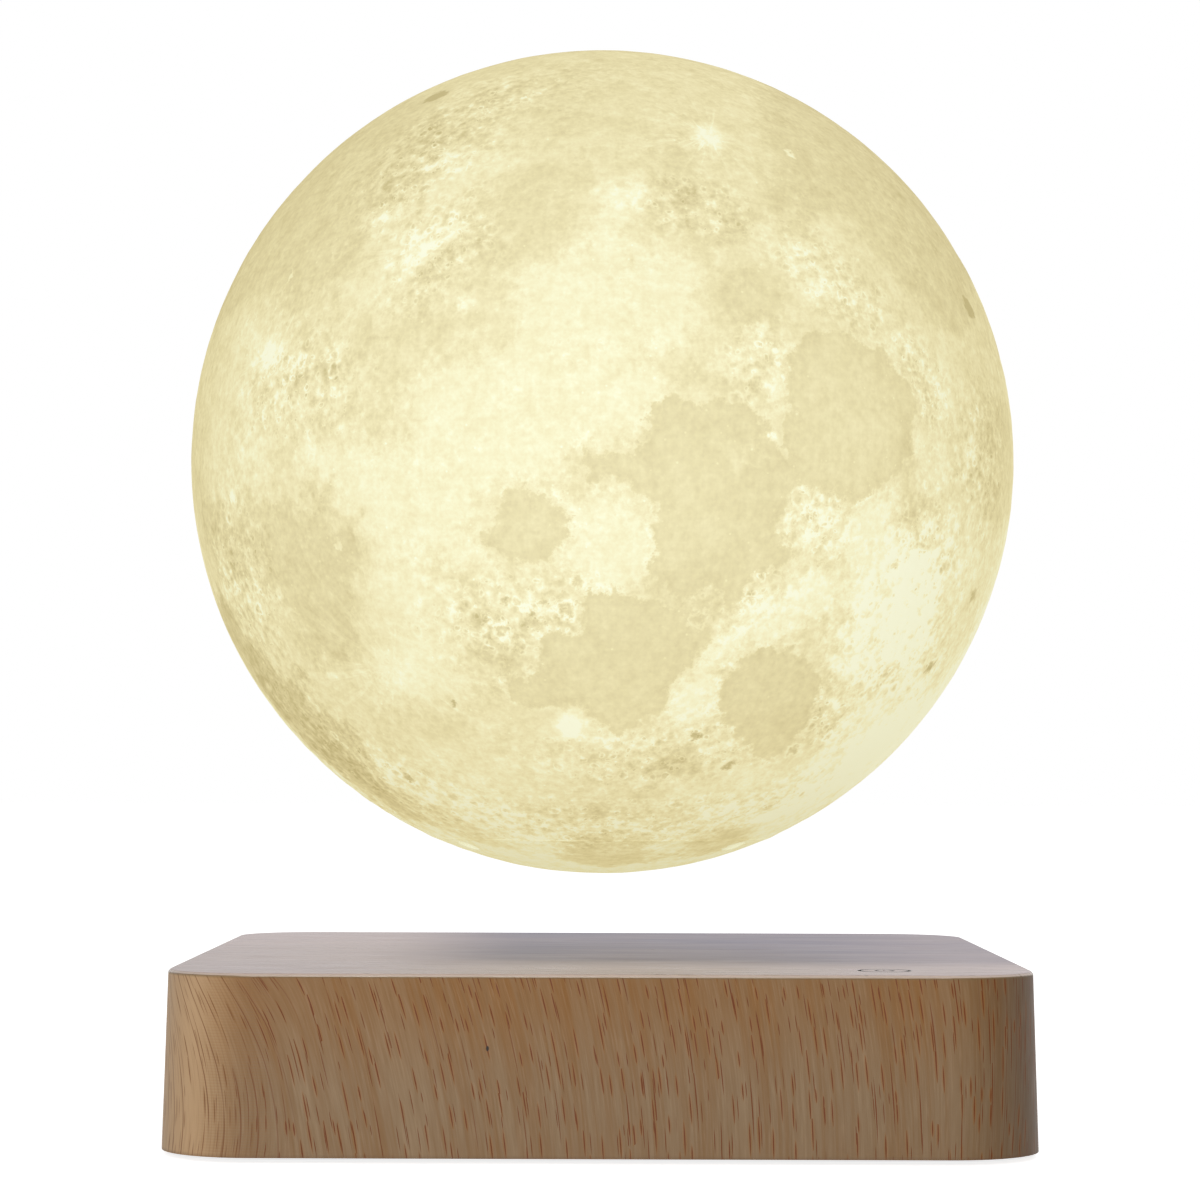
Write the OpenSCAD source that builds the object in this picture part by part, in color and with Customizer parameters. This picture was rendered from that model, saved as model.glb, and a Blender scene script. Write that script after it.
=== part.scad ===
// Moon lamp: a lit moon globe that floats over a square wooden base.
// Millimetres, +Z up, origin on the table under the middle of the base, front towards -Y.

/* [Moon globe] */
// Outer diameter of the globe
moon_d = 180; // [150:1:216]
// Wall of the globe
moon_wall = 1.6; // [1.2:0.1:2.4]
// Least wall of the cap under its pockets
cap_wall = 1.7; // [1.2:0.1:2.4]
// Width of the cap's screwed rim
cap_rim_w = 8.5; // [7.5:0.5:11]
// Height of the cap's rim from the globe's skin to the ledge
cap_rim_h = 4.2; // [3.8:0.1:6]
// Slip clearance between the cap and its port
cap_slip = 0.2; // [0.1:0.05:0.4]
// Thickness of the ledge that the cap is screwed to
ledge_t = 3.5; // [3:0.5:5]
// Width of the collar round the port
collar_t = 3; // [2:0.5:5]

/* [Floating magnet and receiver] */
// Air gap between the base and the resting globe
air_gap = 17; // [12:1:25]
// Diameter of the floating magnet
magnet_d = 44; // [36:1:52]
// Height of the floating magnet
magnet_h = 8; // [6:0.5:10]
// Clearance round the floating magnet
magnet_slip = 0.3; // [0.3:0.1:0.6]
// Wall of the magnet holder
holder_wall = 2; // [1.5:0.5:3]
// Roof of the magnet holder
holder_roof = 2.5; // [2:0.5:4]
// Radial thickness of the receiving coil
receive_coil_t = 2.8; // [2:0.2:4]
// Height of the receiving coil
receive_coil_h = 6; // [4:0.5:7]
// Diameter of the receiver board
receiver_board_d = 50; // [46:1:52]
// Height of the spacers under the LED board
led_spacer_h = 8; // [7:0.5:14]
// Diameter of the LED board
led_board_d = 40; // [38:1:46]
// LEDs round the edge of the LED board
led_count = 8; // [4:1:12]

/* [Base body] */
// Width of the base across its top
base_w = 172; // [166:1:210]
// Height of the base without its feet
base_h = 35.5; // [34:0.5:44]
// How far each side leans out at the bottom
base_draft = 1; // [0.2:0.1:2]
// Corner radius at the top
corner_r = 18; // [15:0.5:22]
// Thickness of the walls
wall_t = 7; // [6:0.5:8.5]
// Thickness of the top under its veneer
top_t = 4; // [3.5:0.5:6]
// Thickness of the veneer
veneer_t = 0.6; // [0.4:0.1:1]
// Glue line under the side veneer
glue_t = 0.05; // [0.02:0.01:0.1]
// Chamfer round the top edge
edge_chamfer = 0.4; // [0.2:0.1:0.4]

/* [Cover and feet] */
// Thickness of the bottom cover
cover_t = 2.5; // [2.2:0.1:3]
// How far the cover sits above the wall's lower edge
cover_recess = 0.8; // [0.5:0.1:1.2]
// Width of the rebate that the cover lies in
rebate_w = 3; // [2:0.5:4]
// Slip clearance round the cover
cover_slip = 0.2; // [0.1:0.05:0.4]
// Diameter of a foot
foot_d = 12; // [8:1:14]
// How far the feet lift the wooden body off the table
foot_h = 1.2; // [0.8:0.1:2]
// Distance of the feet from the middle, both ways
foot_xy = 58; // [50:1:60]
// Length of a vent slot
vent_l = 34; // [20:1:40]
// Width of a vent slot
vent_w = 2.4; // [1.6:0.1:3]
// Distance from slot to slot
vent_pitch = 8; // [6:0.5:10]
// Slots in each of the two rows
vent_count = 9; // [3:2:11]

/* [Levitation module] */
// Flange diameter of a steering coil
coil_d = 24; // [20:1:24.5]
// Height of a steering coil
coil_h = 14; // [11:0.5:15]
// Least distance between the coils' edges, halved
coil_gap = 2.14; // [1.5:0.1:2.2]
// Width of the ring magnet's band
ring_band = 20; // [14:1:20]
// Thickness of the circuit boards
board_t = 1.6; // [1:0.2:2]
// Thickness of the transmitting coil
transmit_coil_h = 2.2; // [1.6:0.2:3]
// Free space over the transmitting coil
ceiling_gap = 2.3; // [1:0.1:3]

/* [Power inlet] */
// Height of the inlet above the wall's lower edge
jack_up = 14; // [13.5:0.5:16]
// Thread diameter of the inlet
jack_d = 8; // [8:0.5:9]
// Bore of the inlet
jack_bore_d = 5.6; // [5.5:0.1:6]
// Contact pin of the inlet
jack_pin_d = 2; // [2:0.1:2.4]
// Length of the inlet inside its flange
jack_l = 11.5; // [11:0.5:14]
// Depth of the inlet's bore
jack_bore_l = 9.5; // [9:0.5:10]
// Wall left where the inlet is clamped
jack_web = 3; // [2.5:0.5:4]

/* [Touch mark] */
// Place of the touch mark, right of the middle
mark_x = 56.4; // [40:0.2:57]
// Place of the touch mark, in front of the middle
mark_front = 69.5; // [60:0.5:71]
// Diameter of the touch mark
mark_d = 10.6; // [8:0.2:12]
// Line width of the touch mark
mark_line = 0.6; // [0.4:0.1:1]
// Depth of the engraving
mark_depth = 0.2; // [0.1:0.05:0.3]

/* [Hidden] */

$fn = 96;
// Facets of small round parts
small_fn = 40;
// Facets of the globe
globe_fn = 192;
// Overlap of cutting shapes
cut = 1;
// Clearance round a screw and between a part and its close seat
fit_slip = 0.05;

// Levels of the base, from the table up
body_z = foot_h;
cover_z = body_z + cover_recess;
cover_top = cover_z + cover_t;
base_top = body_z + base_h;
veneer_z = base_top - veneer_t;
ceiling_z = veneer_z - top_t;

// Plan of the base: arc centres of the corners, and radii measured from them
arc_xy = base_w / 2 - corner_r;
cavity_u = corner_r - veneer_t - glue_t - wall_t;
cavity_half = arc_xy + cavity_u;
rebate_u = cavity_u + rebate_w;
function skin_u(z) = corner_r + base_draft * (base_top - z) / base_h;

// Screws
screw_d = 3;
screw_head_d = 6.2;
screw_head_h = 1.7;
pan_head_d = 5.6;
pan_head_h = 2.2;
fine_screw_d = 2.4;
fine_head_d = 4.2;
fine_head_h = 1.5;

// Corner posts for the cover
corner_post_r = 8;
corner_post_xy = arc_xy + 3;
cover_screw_l = 11;

// Levitation module, hung under the ceiling on four posts
coil_circle = (coil_d / 2 + coil_gap) * sqrt(2);
ring_in_r = coil_circle + coil_d / 2 + 4;
ring_out_r = ring_in_r + ring_band;
module_half = ring_out_r + 2;
module_post_r = 5;
module_post_xy = module_half - 8;
former_t = 1;
former_lip = 1;
board_top = ceiling_z - ceiling_gap - transmit_coil_h - former_t - coil_h;
board_z = board_top - board_t;
former_z = board_top + coil_h;
transmit_z = former_z + former_t;
transmit_out_r = ring_out_r - 2;
transmit_in_r = ring_out_r - 14;
module_screw_l = 9.6;
bobbin_flange = 1;
core_r = 3;
bobbin_hub_r = core_r + 1;
winding_inset = 0.5;
header_w = 5;
header_h = 7.4;
hall_board_w = 10;
hall_board_t = 1;

// Power board, along the right wall
power_w = 16;
power_l = 84;
power_board_x = cavity_half - power_w / 2 - 1.4;
power_z = board_z - 3;
power_top = power_z + board_t;
power_post_r = 3.5;
power_post_y = power_l / 2 - 5;
power_edge_x = power_board_x - power_w / 2;
power_screw_l = 8;
capacitor_d = 8;
capacitor_h = 12;
inductor_d = 12;
inductor_h = 8;
lead_r = 0.6;
lead_pitch = 1.9;

// Power inlet, in the middle of the back wall
jack_z = body_z + jack_up;
jack_flange_d = 11;
jack_flange_t = 1.4;
jack_seat_y = arc_xy + skin_u(jack_z - jack_flange_d / 2);
jack_web_y = arc_xy + skin_u(jack_z) - jack_web;
jack_nut_af = 10;
jack_nut_t = 2.5;
jack_pocket_r = 8;
jack_tail_y = jack_seat_y - jack_l;
lug_l = 4;
lug_x = 2.2;

// Touch sensor, under the mark
mark_y = -mark_front;
touch_board_r = 6;
touch_board_t = 1;
touch_recess = 1.5;
touch_recess_r = touch_board_r + 0.3;
touch_z = ceiling_z + touch_recess - touch_board_t;

// Moon: heights are measured from the globe's centre
moon_r = moon_d / 2;
moon_z = base_top + air_gap + moon_r;
function skin_z(r) = -sqrt(moon_r * moon_r - r * r);
magnet_r = magnet_d / 2;
holder_in_r = magnet_r + magnet_slip;
holder_out_r = holder_in_r + holder_wall;
magnet_pocket_r = holder_in_r + magnet_slip;
receive_in_r = holder_out_r + 0.1;
receive_out_r = receive_in_r + receive_coil_t;
coil_pocket_r = receive_out_r + 1.3;
port_r = coil_pocket_r + cap_rim_w;
cap_floor_z = skin_z(magnet_pocket_r) + cap_wall;
cap_step_z = skin_z(coil_pocket_r) + cap_wall;
ledge_z = skin_z(port_r) + cap_rim_h;
ledge_in_r = coil_pocket_r + 0.5;
magnet_z = cap_floor_z + magnet_slip;
holder_top = magnet_z + magnet_h + magnet_slip + holder_roof;
receiver_t = 1.2;
receiver_top = holder_top + receiver_t;
led_board_z = receiver_top + led_spacer_h;
led_board_top = led_board_z + board_t;
led_screw_r = 16;
led_screw_l = led_board_top - holder_top + 2;
led_spacer_r = 2.5;
led_circle = 12;
led_size = [3.5, 2.8, 0.8];
cap_screw_r = coil_pocket_r + cap_rim_w / 2 + 0.1;
cap_screw_z = ledge_z - 2.6;
cap_screw_l = 5.6;
fine_lead_r = 0.4;

// A (u, z) outline swept round the base's rounded square, u measured out from the corner arcs
module rim(outline) {
    for (k = [0:3])
        rotate([0, 0, 90 * k])
            translate([arc_xy, arc_xy, 0]) {
                rotate_extrude(angle = 90)
                    polygon(outline);
                rotate([90, 0, 0])
                    linear_extrude(2 * arc_xy)
                        polygon(outline);
            }
}

// A plate of the base's plan: the outline reaches in to u = 0 and its middle is filled
module plate(outline, low, high) {
    rim(outline);
    translate([-arc_xy, -arc_xy, low])
        cube([2 * arc_xy, 2 * arc_xy, high - low]);
}

// A straight-sided plate of the base's plan with corner radius u
module flat_plate(u, low, high) {
    plate([[0, low], [u, low], [u, high], [0, high]], low, high);
}

// Copies at the four corners of a square
module at_corners(xy) {
    for (x = [-xy, xy], y = [-xy, xy])
        translate([x, y, 0])
            children();
}

// Copies in a ring
module in_ring(r, count, start = 0) {
    for (k = [0:count - 1])
        rotate([0, 0, start + 360 * k / count])
            translate([r, 0, 0])
                children();
}

// A cylinder from one height to another
module post(r, low, high) {
    translate([0, 0, low])
        cylinder(h = high - low, r = r, $fn = small_fn);
}

// A ring from one height to another
module tube(outer, inner, low, high) {
    difference() {
        translate([0, 0, low])
            cylinder(h = high - low, r = outer);
        translate([0, 0, low - cut])
            cylinder(h = high - low + 2 * cut, r = inner);
    }
}

// A cross recess for a driver, cut up into a head from below
module cross_recess(size, depth) {
    for (turn = [0, 90])
        rotate([0, 0, turn])
            translate([-size / 2, -size / 10, -cut])
                cube([size, size / 5, depth + cut]);
}

// A countersunk screw with its head at z = 0, pointing up
module countersunk_screw(length) {
    difference() {
        union() {
            cylinder(h = screw_head_h, r1 = screw_head_d / 2, r2 = screw_d / 2, $fn = small_fn);
            post(screw_d / 2, screw_head_h / 2, length);
        }
        cross_recess(screw_head_d * 0.55, screw_head_h * 0.5);
    }
}

// A pan-head screw with its head below z = 0, pointing up
module pan_screw(d, head_d, head_h, length) {
    difference() {
        union() {
            post(head_d / 2, -head_h, 0);
            post(d / 2, -head_h / 2, length);
        }
        translate([0, 0, -head_h])
            cross_recess(head_d * 0.6, head_h * 0.45);
    }
}

// An insulated lead along a list of points, with a bead of solder at each turn
module lead(points, r) {
    bead = 1.04;
    for (k = [0:len(points) - 2]) {
        from = points[k];
        step = points[k + 1] - from;
        span = norm(step);
        translate(from)
            rotate([0, acos(step[2] / span), atan2(step[1], step[0])])
                cylinder(h = span, r = r, $fn = 24);
        if (k > 0)
            translate(from)
                sphere(r = r * bead, $fn = 24);
    }
}

// ---- Base ----

module base_body() {
    color("tan")
        difference() {
            union() {
                difference() {
                    plate([
                        [0, body_z],
                        [skin_u(body_z) - veneer_t - glue_t, body_z],
                        [skin_u(veneer_z) - veneer_t - glue_t, veneer_z],
                        [0, veneer_z]
                    ], body_z, veneer_z);
                    flat_plate(cavity_u, body_z - cut, ceiling_z);
                }
                at_corners(corner_post_xy)
                    post(corner_post_r, cover_top, ceiling_z + cut);
                at_corners(module_post_xy)
                    post(module_post_r, board_top, ceiling_z + cut);
                for (side = [-1, 1])
                    translate([power_board_x, side * power_post_y, 0])
                        post(power_post_r, power_top, ceiling_z + cut);
            }
            flat_plate(rebate_u, body_z - cut, cover_top);
            at_corners(corner_post_xy)
                post(screw_d / 2 + fit_slip, 0, cover_z + cover_screw_l + 1);
            at_corners(module_post_xy)
                post(screw_d / 2 + fit_slip, 0, board_z + module_screw_l + 1);
            for (side = [-1, 1])
                translate([power_board_x, side * power_post_y, 0])
                    post(screw_d / 2 + fit_slip, 0, power_z + power_screw_l + 1);
            translate([0, jack_seat_y + cut, jack_z])
                rotate([90, 0, 0])
                    cylinder(h = 3 * wall_t, r = jack_d / 2 + fit_slip);
            translate([0, jack_web_y, jack_z])
                rotate([90, 0, 0])
                    cylinder(h = 2 * wall_t, r = jack_pocket_r);
            translate([mark_x, mark_y, 0])
                post(touch_recess_r, cover_top, ceiling_z + touch_recess);
        }
}

module side_veneer() {
    color("burlywood")
        difference() {
            rim([
                [skin_u(body_z) - veneer_t, body_z],
                [skin_u(body_z), body_z],
                [skin_u(veneer_z), veneer_z],
                [skin_u(veneer_z) - veneer_t, veneer_z]
            ]);
            translate([0, jack_seat_y + cut, jack_z])
                rotate([90, 0, 0])
                    cylinder(h = wall_t, r = jack_d / 2 + fit_slip);
        }
}

// The touch mark: a ring round the sign for on and standby
module touch_mark() {
    sign_r = mark_d * 0.19;
    tube(mark_d / 2, mark_d / 2 - mark_line, base_top - mark_depth, base_top + cut);
    difference() {
        tube(sign_r, sign_r - mark_line * 0.8, base_top - mark_depth, base_top + cut);
        translate([-sign_r * 0.45, 0, base_top - cut])
            cube([sign_r * 0.9, sign_r * 1.5, 3 * cut]);
    }
    translate([-mark_line * 0.4, sign_r * 0.25, base_top - mark_depth])
        cube([mark_line * 0.8, sign_r, mark_depth + cut]);
}

module top_veneer() {
    edge_u = skin_u(base_top);
    color("rosybrown")
        difference() {
            plate([
                [0, veneer_z],
                [skin_u(veneer_z), veneer_z],
                [edge_u, base_top - edge_chamfer],
                [edge_u - edge_chamfer, base_top],
                [0, base_top]
            ], veneer_z, base_top);
            translate([mark_x, mark_y, 0])
                touch_mark();
        }
}

module bottom_cover() {
    color("dimgray")
        difference() {
            flat_plate(rebate_u - cover_slip, cover_z, cover_top);
            at_corners(corner_post_xy) {
                post(screw_d / 2 + cover_slip, cover_z - cut, cover_top + cut);
                translate([0, 0, cover_z])
                    cylinder(h = screw_head_h + cover_slip, r1 = screw_head_d / 2 + cover_slip,
                        r2 = screw_d / 2 + cover_slip, $fn = small_fn);
            }
            for (row = [-1, 1], k = [0:vent_count - 1])
                translate([row * (vent_l / 2 + vent_pitch / 2), (k - (vent_count - 1) / 2) * vent_pitch, 0])
                    vent_slot();
        }
}

module vent_slot() {
    run = vent_l - vent_w;
    translate([-run / 2, -vent_w / 2, cover_z - cut])
        cube([run, vent_w, cover_t + 2 * cut]);
    for (end = [-run / 2, run / 2])
        translate([end, 0, 0])
            post(vent_w / 2, cover_z - cut, cover_top + cut);
}

module cover_screws() {
    color("silver")
        at_corners(corner_post_xy)
            translate([0, 0, cover_z])
                countersunk_screw(cover_screw_l);
}

module rubber_foot(k) {
    lip = 0.8;
    color("black")
        rotate([0, 0, 90 * k - 45])
            translate([foot_xy * sqrt(2), 0, 0]) {
                cylinder(h = lip, r1 = foot_d / 2 - lip, r2 = foot_d / 2, $fn = small_fn);
                post(foot_d / 2, lip, cover_z);
            }
}

// ---- Levitation module ----

module levitation_board() {
    color("darkgreen")
        difference() {
            translate([-module_half, -module_half, board_z])
                cube([2 * module_half, 2 * module_half, board_t]);
            at_corners(module_post_xy)
                post(screw_d / 2 + cover_slip, board_z - cut, board_top + cut);
        }
}

module module_screws() {
    color("silver")
        at_corners(module_post_xy)
            translate([0, 0, board_z])
                pan_screw(screw_d, pan_head_d, pan_head_h, module_screw_l);
}

module driver_chips() {
    bridge = [6, 5, 1.5];
    controller = [7, 7, 1];
    color("darkslategray") {
        in_ring(coil_circle, 4)
            translate([-bridge[0] / 2, -bridge[1] / 2, board_z - bridge[2]])
                cube(bridge);
        translate([-controller[0] / 2, -controller[1] / 2, board_z - controller[2]])
            cube(controller);
    }
}

module ring_magnet() {
    color("slategray")
        tube(ring_out_r, ring_in_r, board_top, former_z);
}

module at_coil(k) {
    rotate([0, 0, 90 * (k - 1)])
        translate([coil_circle, 0, 0])
            children();
}

module coil_bobbin(k) {
    color("ivory")
        at_coil(k) {
            tube(coil_d / 2, core_r + fit_slip, board_top, board_top + bobbin_flange);
            tube(bobbin_hub_r, core_r + fit_slip, board_top, former_z);
            tube(coil_d / 2, core_r + fit_slip, former_z - bobbin_flange, former_z);
        }
}

module coil_winding(k) {
    color("peru")
        at_coil(k)
            tube(coil_d / 2 - winding_inset, bobbin_hub_r + fit_slip,
                board_top + bobbin_flange, former_z - bobbin_flange);
}

module coil_core(k) {
    color("gray")
        at_coil(k)
            post(core_r, board_top, former_z);
}

module hall_header() {
    color("black")
        translate([-header_w / 2, -header_w / 2, board_top])
            cube([header_w, header_w, header_h]);
}

module hall_board() {
    color("darkgreen")
        translate([-hall_board_w / 2, -hall_board_w / 2, board_top + header_h])
            cube([hall_board_w, hall_board_w, hall_board_t]);
}

module hall_sensors() {
    sensor = [1.5, 4, 3];
    color("black")
        in_ring(3.2, 3, 90)
            translate([-sensor[0] / 2, -sensor[1] / 2, board_top + header_h + hall_board_t])
                cube(sensor);
}

module transmit_former() {
    color("ivory")
        tube(transmit_out_r + former_lip, transmit_in_r - former_lip, former_z, transmit_z);
}

module transmit_coil() {
    color("peru")
        tube(transmit_out_r, transmit_in_r, transmit_z, transmit_z + transmit_coil_h);
}

module transmit_leads() {
    mid_z = transmit_z + transmit_coil_h / 2;
    y = 3;
    start_x = sqrt(transmit_out_r * transmit_out_r - y * y) + 0.4;
    color("peru")
        for (side = [-1, 1])
            lead([
                [start_x, side * y, mid_z],
                [power_edge_x + 2, side * y, mid_z],
                [power_edge_x + 2, side * y, power_top]
            ], lead_r);
}

// ---- Power board ----

module power_board() {
    color("darkgreen")
        difference() {
            translate([power_edge_x, -power_l / 2, power_z])
                cube([power_w, power_l, board_t]);
            for (side = [-1, 1])
                translate([power_board_x, side * power_post_y, 0])
                    post(screw_d / 2 + cover_slip, power_z - cut, power_top + cut);
        }
}

module power_screws() {
    color("silver")
        for (side = [-1, 1])
            translate([power_board_x, side * power_post_y, power_z])
                pan_screw(screw_d, pan_head_d, pan_head_h, power_screw_l);
}

module power_chips() {
    chip = [5, 6, 1.6];
    color("darkslategray")
        for (y = [-2, 22])
            translate([power_board_x, y - chip[1] / 2, power_top])
                cube(chip);
}

module power_capacitors() {
    color("navy")
        for (y = [-12, -24])
            translate([power_board_x + 1, y, 0])
                post(capacitor_d / 2, power_top, power_top + capacitor_h);
}

module power_inductor() {
    color("dimgray")
        translate([power_board_x + 1.5, 11, 0])
            post(inductor_d / 2, power_top, power_top + inductor_h);
}

// ---- Power inlet ----

module dc_jack() {
    root = 1;
    lug = [1.2, lug_l + root, 2.4];
    color("black") {
        translate([0, jack_seat_y, jack_z])
            rotate([90, 0, 0])
                difference() {
                    union() {
                        cylinder(h = jack_l, r = jack_d / 2);
                        translate([0, 0, -jack_flange_t])
                            cylinder(h = jack_flange_t, r = jack_flange_d / 2);
                    }
                    translate([0, 0, -jack_flange_t - cut])
                        cylinder(h = jack_bore_l + cut, r = jack_bore_d / 2);
                }
        for (side = [-1, 1])
            translate([side * lug_x - lug[0] / 2, jack_tail_y - lug_l, jack_z - lug[2] / 2])
                cube(lug);
    }
}

module jack_pin() {
    pin_set_back = 1;
    color("gold")
        translate([0, jack_seat_y + jack_flange_t - pin_set_back, jack_z])
            rotate([90, 0, 0])
                cylinder(h = jack_bore_l - pin_set_back, r = jack_pin_d / 2, $fn = small_fn);
}

module jack_nut() {
    color("silver")
        translate([0, jack_web_y, jack_z])
            rotate([90, 0, 0])
                difference() {
                    cylinder(h = jack_nut_t, d = jack_nut_af / cos(30), $fn = 6);
                    translate([0, 0, -cut])
                        cylinder(h = jack_nut_t + 2 * cut, r = jack_d / 2 + fit_slip);
                }
}

module jack_leads() {
    start_y = jack_tail_y - lug_l;
    over_z = max(jack_z, power_top + 2);
    color("red")
        for (k = [0, 1]) {
            shift = k * lead_pitch;
            lead([
                [lug_x - 2 * k * lug_x, start_y, jack_z],
                [lug_x - 2 * k * lug_x, start_y - 3 - shift, over_z],
                [power_edge_x - 1 - shift, start_y - 3 - shift, over_z],
                [power_edge_x + 3 - shift, power_l / 2 - 1.5 - k, over_z],
                [power_edge_x + 3 - shift, power_l / 2 - 1.5 - k, power_top]
            ], lead_r);
        }
}

module link_leads() {
    over = 1.6;
    color("orange")
        for (k = [0:2]) {
            y = -22 - k * lead_pitch;
            lead([
                [power_edge_x + 1.5, y, power_top],
                [power_edge_x + 1.5, y, board_top + over],
                [module_half - 2.5, y - 4, board_top + over],
                [module_half - 2.5, y - 4, board_top]
            ], lead_r);
        }
}

// ---- Touch sensor ----

module touch_board() {
    color("darkgreen")
        translate([mark_x, mark_y, 0])
            post(touch_board_r, touch_z, touch_z + touch_board_t);
}

module touch_lead() {
    low = ceiling_z - 3;
    color("white")
        lead([
            [mark_x + 0.5, mark_y + 3.5, touch_z],
            [mark_x + 0.5, mark_y + 3.5, low],
            [power_edge_x + 3, -power_l / 2 - 8, low],
            [power_edge_x + 3, 1 - power_l / 2, low],
            [power_edge_x + 3, 1 - power_l / 2, power_top]
        ], lead_r);
}

// ---- Floating magnet ----

module float_magnet() {
    color("silver")
        translate([0, 0, moon_z + magnet_z])
            cylinder(h = magnet_h, r = magnet_r);
}

// ---- Moon ----

module at_moon() {
    translate([0, 0, moon_z])
        children();
}

module moon_shell() {
    color("lemonchiffon")
        at_moon()
            difference() {
                union() {
                    difference() {
                        sphere(r = moon_r, $fn = globe_fn);
                        sphere(r = moon_r - moon_wall, $fn = globe_fn);
                    }
                    intersection() {
                        sphere(r = moon_r - moon_wall / 2, $fn = globe_fn);
                        tube(port_r + collar_t, ledge_in_r, -moon_r, ledge_z + ledge_t);
                    }
                }
                translate([0, 0, -moon_r - cut])
                    cylinder(h = moon_r + cut + ledge_z, r = port_r);
                in_ring(cap_screw_r, 3, 90)
                    post(fine_screw_d / 2 + fit_slip, -moon_r, ledge_z + ledge_t - 0.3);
            }
}

module moon_cap() {
    color("lemonchiffon")
        at_moon()
            difference() {
                intersection() {
                    sphere(r = moon_r, $fn = globe_fn);
                    translate([0, 0, -moon_r - cut])
                        cylinder(h = moon_r + cut + ledge_z, r = port_r - cap_slip);
                }
                translate([0, 0, cap_step_z])
                    cylinder(h = moon_r, r = coil_pocket_r);
                translate([0, 0, cap_floor_z])
                    cylinder(h = moon_r, r = magnet_pocket_r);
                in_ring(cap_screw_r, 3, 90) {
                    post(fine_screw_d / 2 + cap_slip, -moon_r, 0);
                    post(fine_head_d / 2 + cap_slip, -moon_r, cap_screw_z);
                }
            }
}

module cap_screws() {
    color("silver")
        at_moon()
            in_ring(cap_screw_r, 3, 90)
                translate([0, 0, cap_screw_z])
                    pan_screw(fine_screw_d, fine_head_d, fine_head_h, cap_screw_l);
}

module magnet_holder() {
    roof_z = holder_top - holder_roof;
    color("ivory")
        at_moon()
            difference() {
                translate([0, 0, cap_step_z])
                    cylinder(h = holder_top - cap_step_z, r = holder_out_r);
                translate([0, 0, cap_step_z - cut])
                    cylinder(h = roof_z - cap_step_z + cut, r = holder_in_r);
                in_ring(led_screw_r, 3)
                    post(fine_screw_d / 2 + fit_slip, roof_z - cut, holder_top + cut);
            }
}

module receive_coil() {
    color("peru")
        at_moon()
            tube(receive_out_r, receive_in_r, cap_step_z, cap_step_z + receive_coil_h);
}

module receive_leads() {
    coil_top = cap_step_z + receive_coil_h;
    over = receiver_top + 1.2;
    color("peru")
        at_moon()
            for (side = [-1, 1])
                lead([
                    [receive_out_r - 0.8, side * 2, coil_top],
                    [receive_out_r - 0.8, side * 2, over],
                    [receiver_board_d / 2 - 2, side * 2, over],
                    [receiver_board_d / 2 - 2, side * 2, receiver_top]
                ], fine_lead_r);
}

module receiver_board() {
    color("darkgreen")
        at_moon()
            difference() {
                translate([0, 0, holder_top])
                    cylinder(h = receiver_t, r = receiver_board_d / 2);
                in_ring(led_screw_r, 3)
                    post(fine_screw_d / 2 + fit_slip, holder_top - cut, receiver_top + cut);
            }
}

module receiver_chips() {
    chip = [5, 4, 1.4];
    color("darkslategray")
        at_moon()
            in_ring(led_screw_r, 3, 60)
                translate([-chip[0] / 2, -chip[1] / 2, receiver_top])
                    cube(chip);
}

module storage_capacitor() {
    color("navy")
        at_moon()
            post(capacitor_d / 2, receiver_top, receiver_top + led_spacer_h - 1.5);
}

module led_spacers() {
    color("ivory")
        at_moon()
            in_ring(led_screw_r, 3)
                tube(led_spacer_r, fine_screw_d / 2 + fit_slip, receiver_top, led_board_z);
}

module led_screws() {
    color("silver")
        at_moon()
            in_ring(led_screw_r, 3)
                translate([0, 0, led_board_top])
                    mirror([0, 0, 1])
                        pan_screw(fine_screw_d, fine_head_d, fine_head_h, led_screw_l);
}

module led_board() {
    color("white")
        at_moon()
            difference() {
                translate([0, 0, led_board_z])
                    cylinder(h = board_t, r = led_board_d / 2);
                in_ring(led_screw_r, 3)
                    post(fine_screw_d / 2 + fit_slip, led_board_z - cut, led_board_top + cut);
            }
}

module led_chips() {
    color("khaki")
        at_moon()
            in_ring(led_circle, led_count, 180 / led_count)
                translate([-led_size[0] / 2, -led_size[1] / 2, led_board_top])
                    cube(led_size);
}

module led_leads() {
    lead_x = 8;
    color("red")
        at_moon()
            for (side = [-1, 1])
                translate([-lead_x, side * 2, 0])
                    post(fine_lead_r, receiver_top, led_board_z);
}

base_body();
side_veneer();
top_veneer();
bottom_cover();
cover_screws();
rubber_foot(1);  // rubber_foot_1
rubber_foot(2);  // rubber_foot_2
rubber_foot(3);  // rubber_foot_3
rubber_foot(4);  // rubber_foot_4
levitation_board();
module_screws();
driver_chips();
ring_magnet();
coil_bobbin(1);  // coil_bobbin_1
coil_bobbin(2);  // coil_bobbin_2
coil_bobbin(3);  // coil_bobbin_3
coil_bobbin(4);  // coil_bobbin_4
coil_winding(1);  // coil_winding_1
coil_winding(2);  // coil_winding_2
coil_winding(3);  // coil_winding_3
coil_winding(4);  // coil_winding_4
coil_core(1);  // coil_core_1
coil_core(2);  // coil_core_2
coil_core(3);  // coil_core_3
coil_core(4);  // coil_core_4
hall_header();
hall_board();
hall_sensors();
transmit_former();
transmit_coil();
transmit_leads();
power_board();
power_screws();
power_chips();
power_capacitors();
power_inductor();
dc_jack();
jack_pin();
jack_nut();
jack_leads();
link_leads();
touch_board();
touch_lead();
float_magnet();
moon_shell();
moon_cap();
cap_screws();
magnet_holder();
receive_coil();
receive_leads();
receiver_board();
receiver_chips();
storage_capacitor();
led_spacers();
led_screws();
led_board();
led_chips();
led_leads();
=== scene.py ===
import math
import random

import bpy
import numpy as np
from mathutils import Matrix, Vector, noise


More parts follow.
